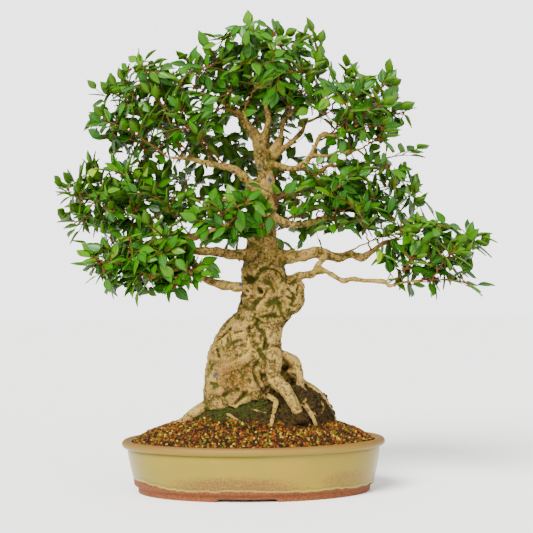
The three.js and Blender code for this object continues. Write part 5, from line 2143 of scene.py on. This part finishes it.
def scatter_tree() -> NodeTree:
    """Builds the tree that scatters grains or tufts over a surface, where its cover attribute lets them.

    Returns:
        The tree.
    """
    add, start = geometry_tree("scattered_grains", [
        ("Grain", "NodeSocketObject", None), ("Finish", "NodeSocketMaterial", None),
        ("Gap", "NodeSocketFloat", 3 * MM), ("Smallest", "NodeSocketFloat", 1 * MM),
        ("Largest", "NodeSocketFloat", 2 * MM), ("Seed", "NodeSocketInt", SEED)])
    cover = add(Node.NAMED, "cover")
    densest, seed = 400000.0, start.outputs["Seed"]
    points = add(Node.SCATTER, start.outputs[0], start.outputs["Gap"], densest, cover, seed)
    toned = add(Node.MARK, points, "tone", add(Node.RANDOM, 0.0, 1.0, 3))
    turn = add(Node.TURN, add(Node.RANDOM_VECTOR, (0.0, 0.0, 0.0), (6.3, 6.3, 6.3), 5))
    size = add(Node.RANDOM, start.outputs["Smallest"], start.outputs["Largest"], 8)
    grain = add(Node.OBJECT, start.outputs["Grain"])
    grains = add(Node.INSTANCES, toned, None, grain, turn, size)
    return end_tree(start, [grains], [(start.outputs["Finish"], None)])


@dataclass(frozen=True)
class Grains:
    """Loose lumpy grains: smallest and largest radius and gap in millimetres, flatness and seed."""

    smallest: float
    largest: float
    gap: float
    flatness: float
    seed: int

    def pattern(self) -> Object:
        """Makes the 20-sided grain that is scattered.

        Returns:
            The grain, about 1 m in radius.
        """
        work = bmesh.new()
        bmesh.ops.create_icosphere(work, subdivisions=1, radius=1.0)
        for vertex in work.verts:
            vertex.co *= 1 + 0.22 * math.sin(5 * vertex.co.x + 3 * vertex.co.z)
            vertex.co.z *= self.flatness
        return worked_object("pattern_grain", work)

    def scatter(self, piece: Object, cover: np.ndarray, finish: Material) -> None:
        """Scatters the grains over a surface and keeps only them.

        Args:
            piece: The surface, which turns into the grains.
            cover: How densely each of its corners is covered, from 0 to 1.
            finish: The grains' material.
        """
        store(piece, "cover", np.clip(cover, 0, 1))
        grain = self.pattern()
        grow_with(piece, scatter_tree(), {
            "Grain": grain, "Finish": finish, "Gap": self.gap * MM, "Smallest": self.smallest * MM,
            "Largest": self.largest * MM, "Seed": self.seed})
        bpy.data.objects.remove(grain)


@dataclass
class Soil:
    """The mound of grit in the pot and the muck under the roots."""

    grit: Grains = Grains(1.4, 2.9, 2.6, 0.8, SEED)
    crumbs: Grains = Grains(1.1, 2.6, 2.7, 0.8, SEED + 2)
    tufts: Grains = Grains(0.8, 2.0, 1.9, 0.9, SEED + 1)
    muck_edge: float = 114.0
    muck_cell: float = 2.0
    # The ground that each kind lies on: its heights from and to, and how far up its faces look.
    bed_ground: Row = (60.0, 200.0, 0.3)
    foot_ground: Row = (84.0, 124.0, 0.0)
    crumb_ground: Row = (96.0, 175.0, -0.2)
    moss_ground: Row = (80.0, 170.0, -1.0)
    bark_moss_ground: Row = (96.0, 172.0, -1.0)
    # The muck's bumps: name, grain in millimetres, detail and height.
    bumps: tuple[tuple[str, float, int, float], ...] = (("lumps", 24.0, 2, 12.0), ("crumbs", 8.0, 4, 8.0))
    # Lumps of muck pressed round the roots' ends: middle and radius.
    blobs: tuple[tuple[Point, float], ...] = (
        ((76, -67, 113), 12.0), ((36, -74, 96), 13.0), ((100, -54, 94), 12.0), ((-20, -64, 104), 16.0),
        ((8, -70, 108), 13.0), ((56, -66, 98), 13.0), ((-62, -34, 106), 14.0))

    def ground(self, source: Object, lowest: float, highest: float, rise: float) -> Object:
        """Copies the faces of a piece that lie between two heights.

        Args:
            source: The piece.
            lowest: The lower height in millimetres.
            highest: The upper one.
            rise: How far up a face must look, as the height of its normal.

        Returns:
            The open surface.
        """
        work = bmesh.new()
        work.from_mesh(source.data)
        bmesh.ops.remove_doubles(work, verts=work.verts, dist=1e-6)
        away = [f for f in work.faces
                if f.normal.z < rise or not lowest * MM < f.calc_center_median().z < highest * MM]
        bmesh.ops.delete(work, geom=away, context="FACES")
        return worked_object("open_ground", work)

    def build_grit(self, muck: Object) -> Object:
        """Makes the loose grains on the soil and on the foot of the muck.

        Args:
            muck: The muck mound.

        Returns:
            The grains.
        """
        bed = self.ground(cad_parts["soil"], *self.bed_ground)
        bed_count = len(bed.data.vertices)
        grit = joined("soil_granules", [bed, self.ground(muck, *self.foot_ground)])
        local = in_mm(corners(grit))
        edge = self.muck_edge - 8 * np.clip((local[:, 0] - 10) / 60, 0, 1)
        edge += 3 * np.sin(local[:, 0] / 6) + 2.5 * np.sin(local[:, 1] / 5 + local[:, 0] / 9)
        cover = (edge - local[:, 2]) / 5
        cover[:bed_count] = 1.0
        self.grit.scatter(grit, cover, Granules().material())
        return hand_over(grit, Slot.SOIL)

    def build_crumbs(self, muck: Object) -> Object:
        """Makes the loose crumbs of peat on the muck.

        Args:
            muck: The muck mound.

        Returns:
            The crumbs.
        """
        crumbs = self.ground(muck, *self.crumb_ground)
        crumbs.name = crumbs.data.name = "muck_crumbs"
        local = in_mm(corners(crumbs))
        wave = np.sin(local[:, 0] / 7 + 2) + np.sin(local[:, 1] / 9 + local[:, 2] / 8)
        self.crumbs.scatter(crumbs, np.maximum(0.6 + 0.4 * wave, 0.1), muck.data.materials[0])
        store(crumbs, "moss", [0.4] * len(crumbs.data.vertices))
        return hand_over(crumbs, Slot.MUCK)

    def build_muck(self) -> Object:
        """Makes the crumbly muck mound.

        Returns:
            The mound.
        """
        work = bmesh.new()
        for middle, radius in self.blobs:
            bmesh.ops.create_icosphere(work, subdivisions=3, radius=radius * MM,
                                       matrix=Matrix.Translation(placed(middle)))
        blobs = worked_object("muck_blobs", work)
        muck = remeshed(joined("muck_mound", [merged_copy("peat_mound", "muck_copy"), blobs]), self.muck_cell)
        move_to(muck, relaxed(muck, corners(muck), 4))
        for name, size, depth, strength in self.bumps:
            clouds = bpy.data.textures.new(f"muck_{name}", "CLOUDS")
            clouds.noise_scale = size * MM
            clouds.noise_depth = depth
            bumps = muck.modifiers.new(name, "DISPLACE")
            bumps.texture = clouds
            bumps.texture_coords = "LOCAL"
            bumps.strength = strength * MM
            bumps.mid_level = 0.5
        finished(muck)
        local = in_mm(corners(muck))
        left, high = (np.clip(share, -1, 1) for share in ((10 - local[:, 0]) / 50, (local[:, 2] - 112) / 20))
        store(muck, "moss", np.clip(0.38 + 0.1 * left + 0.08 * high, 0, 1))
        muck.data.materials.clear()
        muck.data.materials.append(Muck().material())
        shade_smooth(muck)
        return hand_over(muck, Slot.MUCK, "peat_mound")

    def build_tufts(self, muck: Object, wood: Object) -> Object:
        """Makes the moss tufts on the muck and at the foot of the wood.

        Args:
            muck: The muck mound.
            wood: The trunk with its roots.

        Returns:
            The tufts.
        """
        ground = [self.ground(muck, *self.moss_ground), self.ground(wood, *self.bark_moss_ground)]
        muck_count = len(ground[0].data.vertices)
        tufts = joined("moss_tufts", ground)
        local = in_mm(corners(tufts))
        wave = np.sin(local[:, 0] / 9 + 1) + np.sin(local[:, 1] / 11)
        wave += np.sin(local[:, 2] / 7 + local[:, 0] / 13)
        cover = 0.34 * wave - 0.7 * np.clip((local[:, 0] - 20) / 90, 0, 1)
        cover[muck_count:] -= np.clip((local[muck_count:, 2] - 112) / 40, 0, 1) + 0.15
        self.tufts.scatter(tufts, cover, MossCushion().material())
        return hand_over(tufts, Slot.MUCK)

    def build(self, wood: Object) -> None:
        """Makes the grit, its bed, the muck and the moss.

        Args:
            wood: The trunk with its roots.
        """
        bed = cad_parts["soil"]
        bed.material_slots[0].material = ShadedSoilBed().material()
        muck = self.build_muck()
        log.info("soil granules: %d faces", len(self.build_grit(muck).data.polygons))
        log.info("muck mound: %d faces", len(muck.data.polygons))
        log.info("muck crumbs: %d faces", len(self.build_crumbs(muck).data.polygons))
        log.info("moss tufts: %d faces", len(self.build_tufts(muck, wood).data.polygons))
        log.info("small roots: %d faces", len(SmallRoots().build([wood, muck]).data.polygons))


@dataclass
class SmallRoots:
    """Thin roots that creep over the muck, laid on what the camera sees there."""

    sides: int = 7
    # Places in the picture along each root, and its radii, in millimetres.
    routes: tuple[tuple[tuple[Pair, ...], Pair], ...] = (
        (((-2, 122), (6, 120), (14, 117), (22, 117)), (2.2, 1.3)),
        (((-42, 116), (-34, 113), (-28, 108), (-20, 105)), (3.0, 1.6)),
        (((76, 128), (84, 120), (92, 116), (97, 110)), (2.6, 1.6)),
        (((84, 142), (79, 134), (74, 128), (66, 120)), (2.8, 1.4)),
        (((104, 134), (108, 124), (104, 114)), (1.8, 1.1)),
        (((-4, 140), (6, 141), (16, 139), (22, 134)), (6.5, 6.0)),
    )

    def build(self, ground: Sequence[Object]) -> Object:
        """Makes the roots.

        Args:
            ground: The pieces that they lie on.

        Returns:
            The finished piece.
        """
        surface, lines = surface_of(ground), Lines()
        for route, (first, last) in self.routes:
            line = smooth_line(seen_at(surface, route), 3 * MM)
            radii = []
            for i, share in enumerate(lengths_along(line), len(lines.points) + 1):
                knob = 1 + 0.12 * math.sin(i * 1.7) - 0.75 * abs(2 * share - 1) ** 5
                radii.append((first + (last - first) * share) * knob)
            lines.add(line, radii)
        roots = lines.limbs("small_roots", self.sides, OldBark().material())
        # An even middle level of painted shade and light, with no hollows.
        store(roots, "relief", [0.62] * len(roots.data.vertices))
        shade_smooth(roots)
        return hand_over(roots, Slot.BARK)


@dataclass
class DrainFittings:
    """The nets over the drain holes and the wire clips that hold them."""

    sides: tuple[str, str] = ("left", "right")
    pitch: float = 4.0
    strand: float = 0.55

    def net(self, side: str) -> Object:
        """Makes a net of crossing strands in place of a plate of the frame.

        Args:
            side: Which drain hole.

        Returns:
            The finished net.
        """
        low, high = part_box(f"drain_mesh_{side}")
        count = round((high.x - low.x) / (self.pitch * MM))
        height = (low.z + high.z) / 2
        lines = Lines()
        for i in range(count + 1):
            at = low.lerp(high, i / count)
            for line in (((at.x, low.y), (at.x, high.y)), ((low.x, at.y), (high.x, at.y))):
                lines.add([Vector((*end, height)) for end in line], [self.strand] * 2)
        net = lines.limbs(f"drain_net_{side}", 6, DRAIN_PLASTIC.material())
        return hand_over(net, Slot.MESH, f"drain_mesh_{side}")

    def build(self) -> None:
        """Makes the nets and dresses the clips of the frame."""
        wire = ALUMINIUM_WIRE.material()
        for side in self.sides:
            self.net(side)
            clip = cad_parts[f"mesh_clip_{side}"]
            clip.material_slots[0].material = wire


def main() -> None:
    """Builds the scene round the frame, piece by piece."""
    logging.basicConfig(level=logging.INFO, format="%(name)s: %(message)s")
    Camera().build()
    Studio().build()
    log.info("pot: %d faces", len(Pot().build().data.polygons))
    wood = Wood().build()
    log.info("wood: %d faces", len(wood.data.polygons))
    Soil().build(wood)
    log.info("foliage: %d pieces", len(Foliage().build()))
    DrainFittings().build()


if __name__ == "__main__":
    main()
